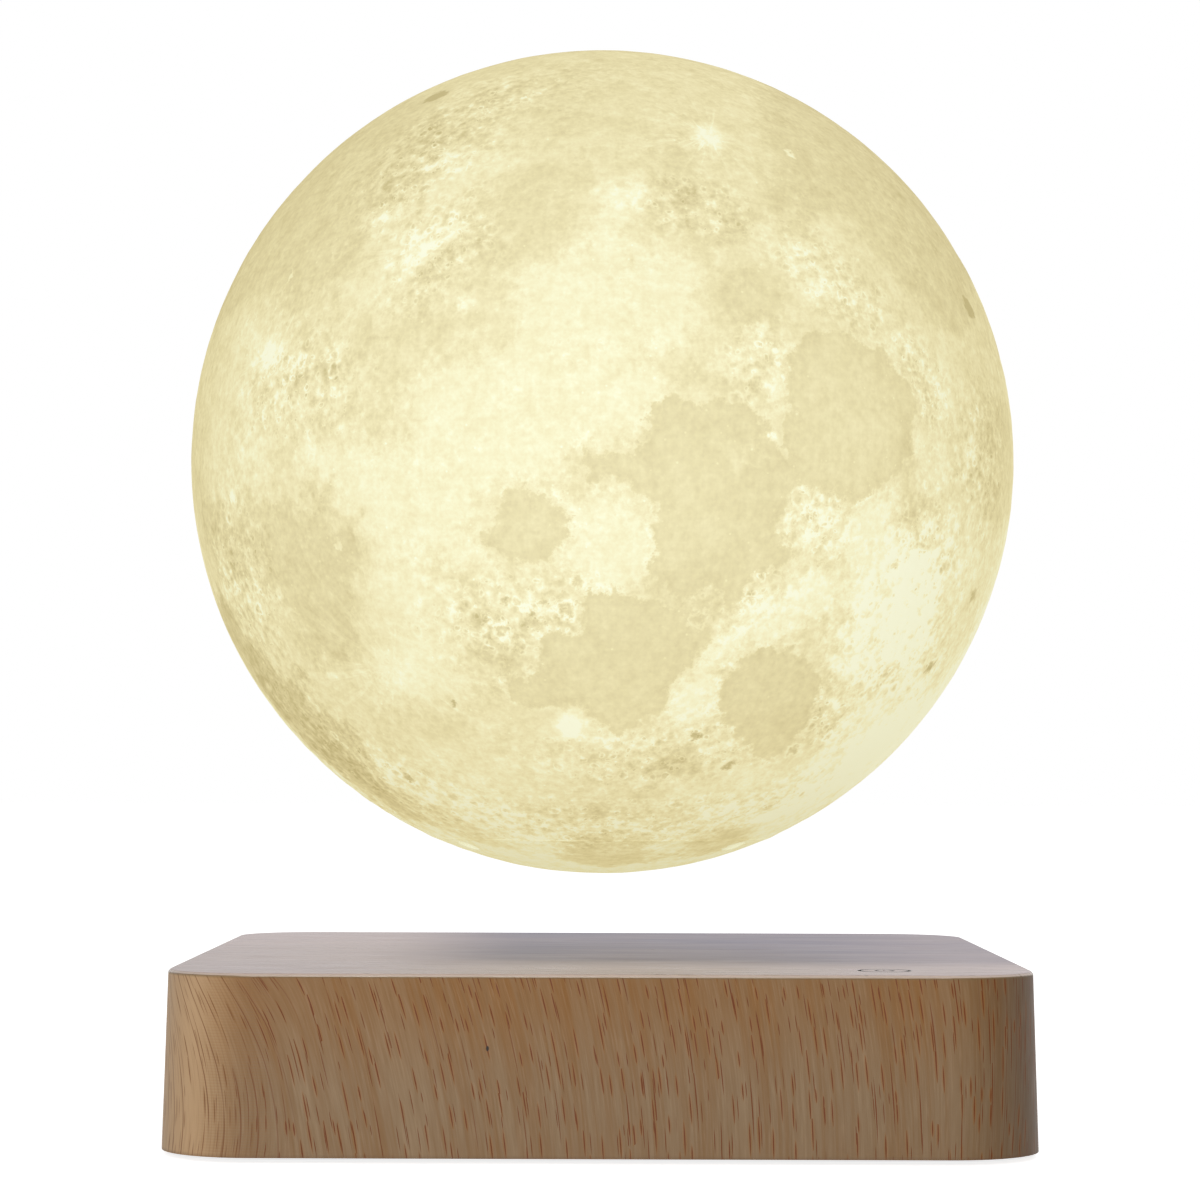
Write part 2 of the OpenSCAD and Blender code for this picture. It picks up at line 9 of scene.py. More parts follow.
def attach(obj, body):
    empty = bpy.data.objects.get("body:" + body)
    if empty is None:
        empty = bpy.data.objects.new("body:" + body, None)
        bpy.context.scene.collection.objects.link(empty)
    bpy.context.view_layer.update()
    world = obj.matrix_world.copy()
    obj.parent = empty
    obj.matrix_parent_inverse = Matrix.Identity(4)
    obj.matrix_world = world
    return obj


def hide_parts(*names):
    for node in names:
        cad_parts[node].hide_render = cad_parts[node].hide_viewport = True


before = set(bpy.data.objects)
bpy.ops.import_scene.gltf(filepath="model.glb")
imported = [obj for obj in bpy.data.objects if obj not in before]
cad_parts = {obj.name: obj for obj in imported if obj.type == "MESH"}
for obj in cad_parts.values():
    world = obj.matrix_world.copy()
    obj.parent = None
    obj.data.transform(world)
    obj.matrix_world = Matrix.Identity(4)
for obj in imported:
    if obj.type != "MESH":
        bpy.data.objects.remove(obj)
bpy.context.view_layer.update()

MM = 0.001

# Levels and radii that the part's source gives, in metres
ARC_XY, ARC_R = 0.068, 0.0185   # centres and radius of the base's corner arcs
WOOD_BOTTOM, WOOD_TOP = 0.0012, 0.0367
VENEER_SEAM = 0.0361            # the top veneer lies on this level
SIDE_MIDDLE = 0.0187            # about half way up the side veneer
MARK = (0.0564, -0.0695)        # the touch mark's middle
MARK_R, SIGN_R = 0.0053, 0.00177   # its ring, and the ring of the sign in it
GLOBE_Z = 0.1437
GLOBE_R = 0.090
WALL = 0.0016
PORT_R, CAP_R = 0.037, 0.0368
LEDGE_Z, LEDGE_TOP = -0.07784, -0.07434   # from the globe's centre
LEDGE_R, COLLAR_R = 0.029, 0.040
CAP_STEP_Z, CAP_FLOOR_Z = -0.08367, -0.08542
COIL_POCKET_R, MAGNET_POCKET_R = 0.0285, 0.0226
CAP_SCREW_RING, CAP_SCREW_Z = 0.03285, -0.08044
CAP_SCREW_HOLE_R, CAP_SCREW_HEAD_R = 0.0014, 0.0023
CAP_HOLE_LOW, CAP_HOLE_HIGH = -0.091, -0.070


def facing(right, up):
    """The way from the globe's centre to a place in degrees right of and above its front."""
    a, e = math.radians(right), math.radians(up)
    return np.array([math.sin(a) * math.cos(e), -math.cos(a) * math.cos(e), math.sin(e)])


# -------- finishes: the wiring

class Wire:
    """A socket of a finish. A sum written on it adds Math nodes, and node() adds any other node."""

    def __init__(self, tree, socket=None):
        self.tree, self.socket = tree, socket

    def node(self, kind, settings=None, sockets=None, output=0):
        made = self.tree.nodes.new("ShaderNode" + kind)
        for name, value in (settings or {}).items():
            if name == "stops":
                ramp = made.color_ramp.elements
                ramp.remove(ramp[1])
                ramp[0].position, ramp[0].color = value[0][0], (*value[0][1], 1)
                for position, colour in value[1:]:
                    ramp.new(position).color = (*colour, 1)
            else:
                setattr(made, name, value)
        for name, value in (sockets or {}).items():
            if isinstance(value, Wire):
                self.tree.links.new(value.socket, made.inputs[name])
            else:
                made.inputs[name].default_value = value
        return Wire(self.tree, made.outputs[output])

    def calc(self, operation, *others):
        return self.node("Math", {"operation": operation}, dict(enumerate((self, *others))))

    def __add__(self, other):
        return self.calc("ADD", other)

    __radd__ = __add__

    def __sub__(self, other):
        return self.calc("SUBTRACT", other)

    def __rsub__(self, other):
        return self.calc("MULTIPLY_ADD", -1.0, other)

    def __mul__(self, other):
        return self.calc("MULTIPLY", other)

    __rmul__ = __mul__

    def __truediv__(self, other):
        return self.calc("DIVIDE", other)

    def __neg__(self):
        return self.calc("MULTIPLY", -1.0)

    def __abs__(self):
        return self.calc("ABSOLUTE")

    def under(self, other):
        return self.calc("MINIMUM", other)

    def over(self, other):
        return self.calc("MAXIMUM", other)

    def rise(self, low, high, to_low=0.0, to_high=1.0):
        """Runs smoothly from to_low to to_high as the value goes from low to high."""
        return self.node("MapRange", {"interpolation_type": "SMOOTHSTEP"},
                         {"Value": self, "From Min": low, "From Max": high,
                          "To Min": to_low, "To Max": to_high})

    def axes(self):
        return [self.node("SeparateXYZ", None, {0: self}, k) for k in range(3)]

    def vector(self, x, y, z):
        return self.node("CombineXYZ", None, {0: x, 1: y, 2: z})

    def length(self):
        return self.node("VectorMath", {"operation": "LENGTH"}, {0: self}, "Value")

    def distance(self, place):
        return self.node("VectorMath", {"operation": "DISTANCE"}, {0: self, 1: tuple(place)},
                         "Value")

    def scaled(self, *size):
        return self.node("VectorMath", {"operation": "MULTIPLY"}, {0: self, 1: size})

    def noise(self, scale, detail=2.0, roughness=0.5, output=0):
        return self.node("TexNoise", None, {"Vector": self, "Scale": scale, "Detail": detail,
                                            "Roughness": roughness}, output)

    def cells(self, scale, output="Distance", **settings):
        return self.node("TexVoronoi", settings, {"Vector": self, "Scale": scale}, output)

    def lots(self, scale, **settings):
        """Three random values that are the same all over each cell."""
        return self.cells(scale, "Color", **settings).axes()

    def stirred(self, scale, detail, roughness, reach):
        """This place, moved about a little by noise."""
        return self.node("VectorMath", {"operation": "MULTIPLY_ADD"},
                         {0: self.noise(scale, detail, roughness, 1), 1: (reach,) * 3, 2: self})

    def ramp(self, *stops):
        return self.node("ValToRGB", {"stops": stops}, {"Fac": self})

    def tint(self, first, second, blend="MIX"):
        """Mixes two colours by this value."""
        pair = [c if isinstance(c, Wire) else (*c, 1) for c in (first, second)]
        return self.node("Mix", {"data_type": "RGBA", "blend_type": blend},
                         {0: self, 6: pair[0], 7: pair[1]}, 2)

    def clouded(self, dark, light):
        """Two near colours, mixed by a noise."""
        return self.rise(0.3, 0.7).tint(dark, light)

    def bump(self, height_mm, strength=1.0):
        return self.node("Bump", None, {"Height": self, "Distance": height_mm * MM,
                                        "Strength": strength})


def finish(name, wiring, **plain):
    """A material. wiring(at) gives what varies over the surface, plain what is the same all over."""
    material = bpy.data.materials.new(name)
    material.use_nodes = True
    tree = material.node_tree
    shader = next(n for n in tree.nodes if n.type == "BSDF_PRINCIPLED")
    for socket, value in plain.items():
        shader.inputs[socket.replace("_", " ")].default_value = value
    at = Wire(tree).node("TexCoord", output="Object")
    for socket, value in wiring(at).items():
        tree.links.new(value.socket, shader.inputs[socket])
    return material


def srgb(red, green, blue):
    """A colour read as 0 to 255 on a screen, as the linear colour that a shader takes."""
    return tuple(c / 3294.6 if c <= 10 else ((c / 255 + 0.055) / 1.055) ** 2.4
                 for c in (red, green, blue))


# -------- finishes: the wood

def side_along(at):
    """Metres round the base's outline from the middle of the front, right positive."""
    x, y = at.axes()[:2]
    straight = x.under(ARC_XY).over(-ARC_XY)
    side = (y + ARC_XY).under(2 * ARC_XY).over(0.0)
    out_x = (abs(x) - ARC_XY).over(0.0)
    out_y = (abs(y) - ARC_XY).over(0.0)
    turned = out_x.calc("ARCTAN2", out_y + 0.00001)
    sign = x.calc("SIGN")
    front = y.calc("LESS_THAN", 0.0)
    on_front = straight + sign * (turned * ARC_R + side)
    # past the middle of a side: the front arc, the side, the back arc, then back along x
    on_back = sign * (2 * ARC_XY - abs(straight) + side + (math.pi - turned) * ARC_R)
    return on_front * front + on_back * (1 - front)


def ticks(plane, across, along, thin, long, keep):
    """Short dashes, one in most cells of a grid of cells across x along metres."""
    grid = plane.scaled(1 / across, 1 / along, 1)
    here = grid.axes()
    spot = grid.cells(1.0, "Position", voronoi_dimensions="2D").axes()
    luck = grid.lots(1.0, voronoi_dimensions="2D")
    dx = abs(here[0] - spot[0]) / (thin / across)
    dy = (here[1] - spot[1]) / (long / along) / (luck[1] * 0.9 + 0.45)
    body = (1 - dx - dy * dy).rise(0.0, 0.35)
    return body * luck[0].rise(1 - keep - 0.02, 1 - keep + 0.02) * (luck[2] * 0.5 + 0.5)


# Dashes of the side veneer: a cell's size across and along, half a dash's width and length, and
# the share of the cells that hold one
DASHES = (0.0025, 0.0066, 0.00014, 0.0031, 0.66)
HALOS = (0.0025, 0.0066, 0.0005, 0.0038, 0.66)
SHORT_DASHES = (0.0020, 0.0058, 0.0001, 0.0022, 0.42)
LONG_DASHES = (0.0046, 0.0150, 0.00012, 0.0066, 0.5)
RING_PITCH, CLOSE_PITCH = 0.0030, 0.0008   # between growth lines, at the corners
RIPPLE = 0.00009                           # a radian of the cross figure at the left corner
KNOT = (-0.0219, 0.0224)                   # along and up


def side_wood(at):
    z = at.axes()[2]
    u = side_along(at)
    up = z - SIDE_MIDDLE
    # where the grain leans, where it sweeps round at the left corner, and the two corners: painted light
    # on the left one, painted shade on the right one, which also bears growth lines
    lean = u.rise(-0.05, 0.04, 0.24, 0.11) + u.rise(0.055, 0.095, 0.0, -0.22)
    swept = u.rise(-0.054, -0.068) * u.rise(-0.13, -0.115)
    right = u.rise(0.062, 0.094) * u.rise(0.17, 0.12)
    left = u.rise(-0.067, -0.082) * u.rise(-0.17, -0.12)
    top = up.rise(-0.008, 0.017)
    past_edge = u.rise(-0.08, -0.074)
    wander = at.vector(u, z * 0.25, 0.0).noise(14.0, 1.0)
    grain = u + lean * up + up * up * (swept * 9.5 + 2.5) + (wander - 0.5) * 0.004
    plane = at.vector(grain, z, 0.0)
    streak = at.vector(grain * 700.0, z * 16.0, 0.0).noise(1.0, 3.0, 0.6)
    broad = at.vector(grain * 95.0, z * 6.0, 3.0).noise(1.0, 2.0)
    hair = at.vector(grain * 2600.0, z * 110.0, 0.0).noise(1.0, 2.0, 0.6)
    bands = (streak * 0.5 + broad * 0.5 - 0.5) * (1 - swept * 0.5) + 0.5
    # the ground, from its bands to its tints, with painted shade towards the right and painted light on
    # the left corner
    colour = bands.ramp((0.3, srgb(112, 89, 62)), (0.5, srgb(125, 101, 73)),
                        (0.7, srgb(136, 112, 83)))
    warm = (bands.rise(0.56, 0.38) * 0.36 + top * 0.5) * (1 - right * 0.5)
    colour = warm.tint(colour, srgb(124, 80, 22))
    # painted shade: the front darker towards its right and round the right corner
    colour = (u.rise(-0.05, 0.07) * u.rise(0.22, 0.12) * 0.16).tint(colour, srgb(92, 73, 50))
    # painted light: the left corner paler
    colour = (left * 0.9).tint(colour, srgb(188, 156, 120))
    # painted shade: the right corner darker and cooler
    colour = (right * 0.8).tint(colour, srgb(86, 68, 52))
    colour = (hair.rise(0.42, 0.7) * 0.15).tint(colour, srgb(98, 64, 26))
    colour = (hair.rise(0.46, 0.28) * 0.14).tint(colour, srgb(160, 134, 102))
    # dashes, growth lines and the cross figure
    few = 1 - swept * 0.75
    dash = (ticks(plane, *DASHES) * few).over(
        ticks(plane.scaled(1.07, 0.93, 1), *SHORT_DASHES) * few * 0.9).over(
        ticks(plane.scaled(0.96, 1.05, 1), *LONG_DASHES) * u.rise(-0.03, 0.04, 0.3, 0.8))
    halo = ticks(plane, *HALOS) * few * 0.34
    ring = (grain / RING_PITCH + (wander - 0.5) * 5.0).calc("FRACT")
    close = (grain / CLOSE_PITCH).calc("FRACT")
    broken = at.vector(grain * 240.0, z * 60.0, 7.0).noise(1.0, 1.0)
    line = (abs(ring - 0.5).rise(0.06, 0.01) * broken.rise(0.34, 0.52) * (swept + right) * 0.66
            + abs(close - 0.5).rise(0.2, 0.05) * past_edge * u.rise(-0.061, -0.066) * 0.12)
    figure = (z / RIPPLE).calc("SINE").rise(-1, 1, 0.0, 0.14)
    colour = (halo + figure * past_edge * u.rise(-0.06, -0.067)).tint(colour, srgb(134, 84, 26))
    colour = (dash * 3.0).over(line).under(0.97).tint(colour, srgb(94, 42, 0))
    knot = at.vector(u - KNOT[0], (z - KNOT[1]) * 0.6, 0.0).length().rise(0.0004, 0.0002)
    colour = knot.tint(colour, srgb(30, 22, 16))
    # the glue line above and a band darker along the bottom edge below
    glue = z.rise(VENEER_SEAM - 0.0004, VENEER_SEAM - 0.0001) * 0.4
    colour = glue.tint(colour, srgb(92, 82, 58))
    darker_bottom_band = z.rise(WOOD_BOTTOM + 0.0008, WOOD_BOTTOM) * 0.4
    return {"Base Color": darker_bottom_band.tint(colour, srgb(92, 68, 48)),
            "Roughness": hair.rise(0.2, 0.8, 0.46, 0.6),
            "Normal": (hair * 0.5 - dash.over(line)).bump(0.05, 0.35)}


TOP_DASHES = (0.0036, 0.0105, 0.0002, 0.0034, 0.7)
SPECK_CELLS = 75.0   # to a metre


def top_wood(at):
    x, y, z = at.axes()
    wander = at.vector(x * 0.3, y, 5.0).noise(12.0, 1.0)
    grain = y + x * 0.035 + (wander - 0.5) * 0.012
    soft = at.vector(grain * 110.0, x * 5.0, 0.0).noise(1.0, 3.0)
    broad = at.vector(grain * 20.0, x * 7.0, 2.0).noise(1.0, 2.0)
    fibre = at.vector(grain * 1100.0, x * 50.0, 0.0).noise(1.0, 3.0, 0.6)
    colour = (soft * 0.5 + broad * 0.5).ramp(
        (0.3, srgb(146, 120, 124)), (0.5, srgb(160, 132, 134)), (0.7, srgb(170, 142, 140)))
    colour = (fibre.rise(0.35, 0.7) * 0.34).tint(colour, srgb(120, 92, 84))
    # painted shadow of the globe: the veneer painted darker and bluer towards the back and right of the
    # middle, where the globe's soft shadow falls
    shadow_noise = at.vector(x * 14.0, y * 40.0, 8.0).noise(1.0, 2.0)
    painted_globe_shadow = (x.rise(-0.055, -0.015) * (1 - x.rise(0.045, 0.08) * 0.3)
              * y.rise(-0.068, -0.026) * shadow_noise.rise(0.2, 0.7, 0.75, 1.1))
    colour = (painted_globe_shadow * 0.75).tint(colour, srgb(74, 73, 112))
    dash = ticks(at.vector(grain, x, 0.0), *TOP_DASHES)
    colour = (dash * 0.9).tint(colour, srgb(104, 66, 46))
    speck = at.cells(SPECK_CELLS, voronoi_dimensions="2D").rise(0.035, 0.022)
    rare = at.lots(SPECK_CELLS, voronoi_dimensions="2D")[0].rise(0.84, 0.85)
    colour = (speck * rare * 0.8).tint(colour, srgb(48, 36, 30))
    # the chamfer with a painted highlight, the veneer's cut edge, and the lines of the touch mark
    away = at.vector(x - MARK[0], y - MARK[1], 0.0).length()
    clear_of_mark = away.rise(0.008, 0.012)
    # painted highlight: the chamfer painted paler along the top edge
    chamfer_highlight = z.rise(WOOD_TOP - 0.00002, WOOD_TOP - 0.00008) * clear_of_mark
    colour = (chamfer_highlight * 0.8).tint(colour, srgb(196, 178, 162))
    side = z.rise(WOOD_TOP - 0.00038, WOOD_TOP - 0.00044) * clear_of_mark
    colour = side.tint(colour, srgb(124, 100, 70))
    cut_floor = z.rise(WOOD_TOP - 0.00006, WOOD_TOP - 0.00014)
    scorched = (cut_floor * away.rise(MARK_R + 0.0004, MARK_R + 0.0002)).over(
        abs(away - MARK_R + 0.0003).rise(0.0006, 0.0004)).over(
        abs(away - SIGN_R).rise(0.0005, 0.0003))
    return {"Base Color": (scorched * 0.97).tint(colour, srgb(38, 24, 16)),
            "Roughness": fibre.rise(0.2, 0.8, 0.24, 0.36) + painted_globe_shadow * 0.12,
            "Normal": (fibre * 0.5 - dash).bump(0.04, 0.3)}


# -------- finishes: the globe

SPAN = 16.0   # degrees that a shore attribute covers, from 8 outside a shore to 8 inside

# How the lit globe looks at each level of tone, as read on a screen
LIT_TONES = ((0.0, 203, 190, 140), (0.156, 212, 200, 150), (0.281, 220, 208, 160),
             (0.406, 227, 216, 169), (0.531, 234, 224, 177), (0.656, 241, 232, 187),
             (0.781, 246, 240, 198), (0.906, 250, 248, 211), (1.0, 252, 253, 226))
GLOW_SHARE = (0.71, 0.66, 0.50)   # of red, green and blue, the rest is daylight on the plastic
DAYLIGHT = 1.05                   # that falls on the globe

# Single small craters: right, up, radius in degrees, rim brighter, floor darker
CRATERS = (
    (-5, -23.6, 1.15, 0.45, 0.4), (-14.1, -26.5, 1.0, 0.4, 0.25), (-16.2, -24.9, 0.8, 0.2, 0.5),
    (-10, -24.1, 0.9, 0.3, 0.5), (-16.4, -27.2, 0.8, 0.2, 0.4), (-3.1, -19.7, 0.9, 0.3, 0.3),
    (-13.4, -22.4, 0.7, 0.1, 0.45), (-8, -22.6, 0.6, 0.2, 0.4), (-12, -28.5, 0.9, 0.3, 0.2),
    (19.3, -3.6, 1.4, 0.16, 0.0), (27.4, -10.5, 0.8, 0.3, 0.3), (28.9, -12.6, 0.7, 0.1, 0.5),
    (48.2, -13.3, 1.1, 0.2, 0.5), (43.5, -16.6, 1.0, 0.2, 0.5), (62.4, -30.6, 1.3, 0.0, 1.1),
    (67.7, -19.7, 1.4, 0.0, 0.8), (-24.6, -37.0, 0.7, 0.1, 0.9), (-44.1, -50.2, 1.2, 0.1, 0.9),
    (16.5, -42.3, 1.0, 0.1, 1.0), (25.3, -47.8, 1.1, 0.1, 0.9), (38.1, -44.5, 1.1, 0.2, 0.6),
    (-44.4, 56.0, 2.2, 0.0, 1.2), (65.4, 19.5, 1.9, 0.0, 1.2), (13.5, -24.8, 1.2, 0.3, 0.1),
    (-36.9, 7.3, 2.0, 0.0, 0.35), (-43.3, 6.7, 1.5, 0.0, 0.3), (12.7, 31.4, 1.9, 0.0, 0.35),
    (-50.3, 22.2, 0.9, -0.1, -0.6), (34.3, 41.0, 1.0, -0.1, -0.6), (-59.0, -7.1, 1.4, 0.0, -0.5),
    (-51.6, -20.4, 1.3, 0.0, -0.5), (-37.2, -14.5, 0.9, 0.0, -0.5), (21.6, -1.2, 0.9, 0.1, -0.6),
    (20.9, 12.5, 1.7, 0.1, -0.5), (-18.1, 15.7, 1.6, 0.1, -0.5), (-5.6, -8.6, 1.0, 0.0, -0.3),
)

# Young craters that threw out rays: right, up, reach in degrees, how much brighter
RAYED = ((-33, -31.2, 26, 0.2), (-26.6, 24, 15, 0.26), (-48.9, 10.8, 15, 0.24),
         (19.1, 43, 13, 0.26), (120, 5, 18, 0.3), (-140, 45, 16, 0.3))


def crater_field(place, scale, share):
    """Bright rims (above 0) and dark bowls (below 0) of craters of one size, in some of the cells."""
    away = place.cells(scale)
    luck = place.lots(scale)
    reach = away / (luck[0] * 0.22 + 0.16)
    chosen = luck[1].rise(1.02 - share, 1.08 - share) * (luck[2] * 0.6 + 0.4)
    bowl = reach.rise(1.0, 0.35)
    rim = abs(reach - 1.12).rise(0.36, 0.0)
    return (rim * 0.8 - bowl) * chosen


def crater(place, right, up, radius, rim, floor):
    away = place.distance(facing(right, up)) / math.radians(radius)
    pit = away.rise(1.05, 0.35) * (-0.6 * floor)
    return abs(away - 1).rise(0.5, 0.0) * (rim * 0.65) + pit if rim else pit


def rays(place, right, up, reach, lift):
    """Fine bright streaks running out from one place."""
    a = math.radians(right)
    out, east = facing(right, up), (math.cos(a), math.sin(a), 0.0)
    x, y = (place.node("VectorMath", {"operation": "DOT_PRODUCT"}, {0: place, 1: tuple(way)},
                       "Value") for way in (east, np.cross(out, east)))
    away = place.distance(out)
    near = away + 0.01
    spokes = place.vector(x / near * 5.0, y / near * 5.0, away * 2.0).noise(1.0, 5.0, 0.65)
    return spokes.rise(0.5, 0.66) * away.rise(math.radians(reach), 0.03) * lift


def lit_moon(at):
    """The printed globe with its lamp on: seas, highlands and craters in warm light."""
    place = at.node("Mapping", None, {"Vector": at, "Location": (0, 0, -GLOBE_Z / GLOBE_R),
                                      "Scale": (1 / GLOBE_R,) * 3})
    read = {k: at.node("Attribute", {"attribute_name": k}, None, "Fac")
            for k in ("sea", "dusk", "darker", "pale", "brighter", "shade", "rough")}
    crinkle = place.noise(11.0, 5.0, 0.6)
    ripple = place.node("Mapping", None, {"Vector": place, "Location": (3, 1, 2)}).noise(9.0, 6.0, 0.65)
    frill = place.noise(42.0, 5.0, 0.7)
    inside = (read["sea"] - 0.5) * SPAN + (crinkle - 0.5) * 5.0 + (frill - 0.5) * 5.0
    sea = inside.rise(-0.4, 0.4)
    dusk = ((read["dusk"] - 0.5) * SPAN + (ripple - 0.5) * 15.0
            + (frill - 0.5) * 10.0).rise(-1.9, 1.9)
    pale = ((read["pale"] - 0.5) * SPAN + (ripple - 0.5) * -16.0
            + (frill - 0.5) * 12.0).rise(-2.4, 2.4)
    wave = place.noise(5.0, 4.0, 0.6)
    mottle = place.noise(16.0, 4.0, 0.6)
    fine = place.noise(50.0, 2.0, 0.55)
    grit = place.noise(110.0, 1.0, 0.5)
    rough = (read["rough"] * 0.85 + wave.rise(0.45, 0.65) * 0.15) * (1 - sea)
    stir = place.stirred(30.0, 2.0, 0.5, 0.03)
    pits = (crater_field(stir, 13.0, 0.45) * 0.6 + crater_field(stir, 26.0, 0.6)
            + crater_field(stir, 50.0, 0.65) + crater_field(stir, 90.0, 0.5) * 0.6)
    specks = place.cells(60.0).rise(0.24, 0.05) * place.lots(60.0)[2].rise(0.88, 0.92)
    ground = 0.61 + pale * read["brighter"] - dusk * read["darker"] * (1 - pale * 0.6)
    highland = (ground + (mottle - 0.5) * (rough * 0.7 + 0.46 - pale * 0.16)
                + (fine - 0.5) * (rough + 0.44 - pale * 0.1)
                + (grit - 0.5) * 0.22 + pits * (rough * 0.34 + 0.03)
                + inside.rise(-1.5, -0.2) * 0.07)
    lowland = (0.495 + (wave - 0.5) * 0.14 + (mottle - 0.5) * 0.3 + (fine - 0.5) * 0.4
               + (grit - 0.5) * 0.16 - abs(inside - 0.8).rise(0.8, 0.0) * 0.05)
    tone = sea.node("Mix", {"data_type": "FLOAT"}, {0: sea, 2: highland, 3: lowland})
    x, y, z = place.axes()
    turn = x.calc("ARCTAN2", -y)
    weave = (at.vector(turn * 3.0, z * 115.0, 0.0).noise(1.0, 1.0)
             + at.vector(turn * 115.0, z * 3.0, 4.0).noise(1.0, 1.0) - 1.0)
    bent = place.stirred(55.0, 3.0, 0.6, 0.05)
    bent = bent.node("VectorMath", {"operation": "ADD"}, {0: bent, 1: (-0.025,) * 3})
    # the shade attribute brings the map's soft tone together with the painted limb shade and light
    spots = sum((crater(bent, *c) for c in CRATERS), tone + (read["shade"] - 0.5) * -2.0)
    streaked = sum((rays(place, *r) for r in RAYED), 0.0) * (1 - sea * 0.8) * (1 - pale * 0.6)
    level = (spots + streaked + specks * 0.22 + weave * 0.07).over(0.0).under(1.0)
    stops = [(stop, [c * g for c, g in zip(srgb(*colour), GLOW_SHARE)], srgb(*colour))
             for stop, *colour in LIT_TONES]
    glow = level.ramp(*((stop, part) for stop, part, whole in stops))
    body = level.ramp(*((stop, [(w - p) / DAYLIGHT for w, p in zip(whole, part)])
                        for stop, part, whole in stops))
    height = ((fine * (0.25 + rough * 0.6) + grit * 0.1 + pits * (rough + 0.1) * 0.3)
              * (1 - sea * 0.7) + weave * 0.04)
    return {"Base Color": body, "Emission Color": glow,
            "Roughness": level.rise(0.0, 1.0, 0.85, 0.75), "Normal": height.bump(0.25, 0.4)}


# -------- finishes: what is inside and below

def mottled(dark, light, scale, roughness, detail=3.0, relief=0.05, strength=0.3):
    """A moulded or pressed stuff with a slight cloudiness and a fine tooth."""
    def wiring(at):
        cloud = at.noise(scale, detail)
        tooth = at.noise(scale * 12.0, 2.0)
        return {"Base Color": cloud.clouded(dark, light),
                "Roughness": tooth.rise(0.25, 0.75, roughness - 0.06, roughness + 0.06),
                "Normal": tooth.bump(relief, strength)}
    return wiring


def brushed(dark, light, roughness):
    """Turned or brushed metal, its lines going round."""
    def wiring(at):
        x, y, z = at.axes()
        lines = at.vector(x * 900.0, y * 900.0, z * 9000.0).noise(1.0, 2.0)
        cloud = at.noise(160.0, 2.0)
        return {"Base Color": cloud.clouded(dark, light),
                "Roughness": lines.rise(0.2, 0.8, roughness - 0.08, roughness + 0.1),
                "Normal": lines.bump(0.02, 0.2)}
    return wiring


def circuit(at):
    """Solder mask over copper tracks, with tinned pads."""
    grid = at.cells(170.0, "Distance", feature="DISTANCE_TO_EDGE", voronoi_dimensions="2D")
    pad = at.cells(330.0, "Distance", voronoi_dimensions="2D")
    luck = at.lots(330.0, voronoi_dimensions="2D")
    track = grid.rise(0.10, 0.06)
    tinned = pad.rise(0.24, 0.2) * luck[0].rise(0.78, 0.8)
    mask = track.tint((0.010, 0.060, 0.035), (0.022, 0.110, 0.058))
    colour = tinned.tint(mask, (0.55, 0.55, 0.52))
    return {"Base Color": colour, "Roughness": tinned.rise(0.0, 1.0, 0.42, 0.3),
            "Metallic": tinned, "Normal": (track + tinned * 2.0).bump(0.04, 0.5)}


def white_plate(at):
    pad = at.cells(420.0, "Distance", voronoi_dimensions="2D")
    luck = at.lots(420.0, voronoi_dimensions="2D")
    tinned = pad.rise(0.2, 0.17) * luck[0].rise(0.85, 0.87)
    cloud = at.noise(300.0, 3.0)
    ground = cloud.clouded((0.72, 0.72, 0.69), (0.80, 0.80, 0.77))
    return {"Base Color": tinned.tint(ground, (0.5, 0.5, 0.48)), "Metallic": tinned,
            "Roughness": cloud.rise(0.2, 0.8, 0.36, 0.46), "Normal": tinned.bump(0.03, 0.4)}


def phosphor(at):
    """An LED's yellow phosphor in its white frame."""
    cloud = at.noise(1500.0, 2.0)
    colour = cloud.clouded((0.80, 0.62, 0.16), (0.88, 0.72, 0.24))
    return {"Base Color": colour, "Emission Color": colour,
            "Roughness": cloud.rise(0.2, 0.8, 0.4, 0.55)}


def winding(round_axis):
    """Enamelled wire, turn by turn: up a bobbin, or round the axis of a flat coil."""
    def wiring(at):
        x, y, z = at.axes()
        if round_axis:
            turn = (at.vector(x, y, 0.0).length() + z) / 0.00045
        else:
            turn = z / 0.0004
        crown = turn.calc("FRACT") - 0.5
        crown_relief_and_shade = 1 - crown * crown * 4.0
        cloud = at.noise(220.0, 3.0)
        # painted shade and painted highlight: each turn painted dark where it meets the next and bright on
        # its crown
        colour = (crown_relief_and_shade * 0.8 + cloud * 0.3).ramp(
            (0.1, (0.10, 0.022, 0.006)), (0.6, (0.55, 0.17, 0.05)), (1.0, (0.78, 0.33, 0.12)))
        return {"Base Color": colour, "Roughness": cloud.rise(0.2, 0.8, 0.24, 0.4),
                "Normal": crown_relief_and_shade.bump(0.12, 0.8)}
    return wiring


def leads(left, right):
    """Sleeves of the leads of one piece, in two colours, told apart by the side they lie on."""
    def wiring(at):
        ground = at.axes()[0].rise(-0.0002, 0.0002).tint(left, right)
        cloud = at.noise(400.0, 2.0)
        colour = (cloud.rise(0.3, 0.7) * 0.25).tint(ground, (0.30, 0.30, 0.30))
        return {"Base Color": colour, "Roughness": cloud.rise(0.2, 0.8, 0.34, 0.5),
                "Normal": cloud.bump(0.03, 0.3)}
    return wiring


def sleeve(at):
    """A capacitor's shrunk sleeve, dark with one pale stripe, and its bare top."""
    ground = at.noise(300.0, 2.0).clouded((0.012, 0.016, 0.035), (0.02, 0.026, 0.055))
    stripe = at.axes()[1].calc("PINGPONG", 0.004).rise(0.0034, 0.0037)
    return {"Base Color": (stripe * 0.8).tint(ground, (0.45, 0.47, 0.5)),
            "Roughness": at.noise(500.0).rise(0.3, 0.7, 0.28, 0.4),
            "Normal": at.noise(120.0).bump(0.05, 0.3)}


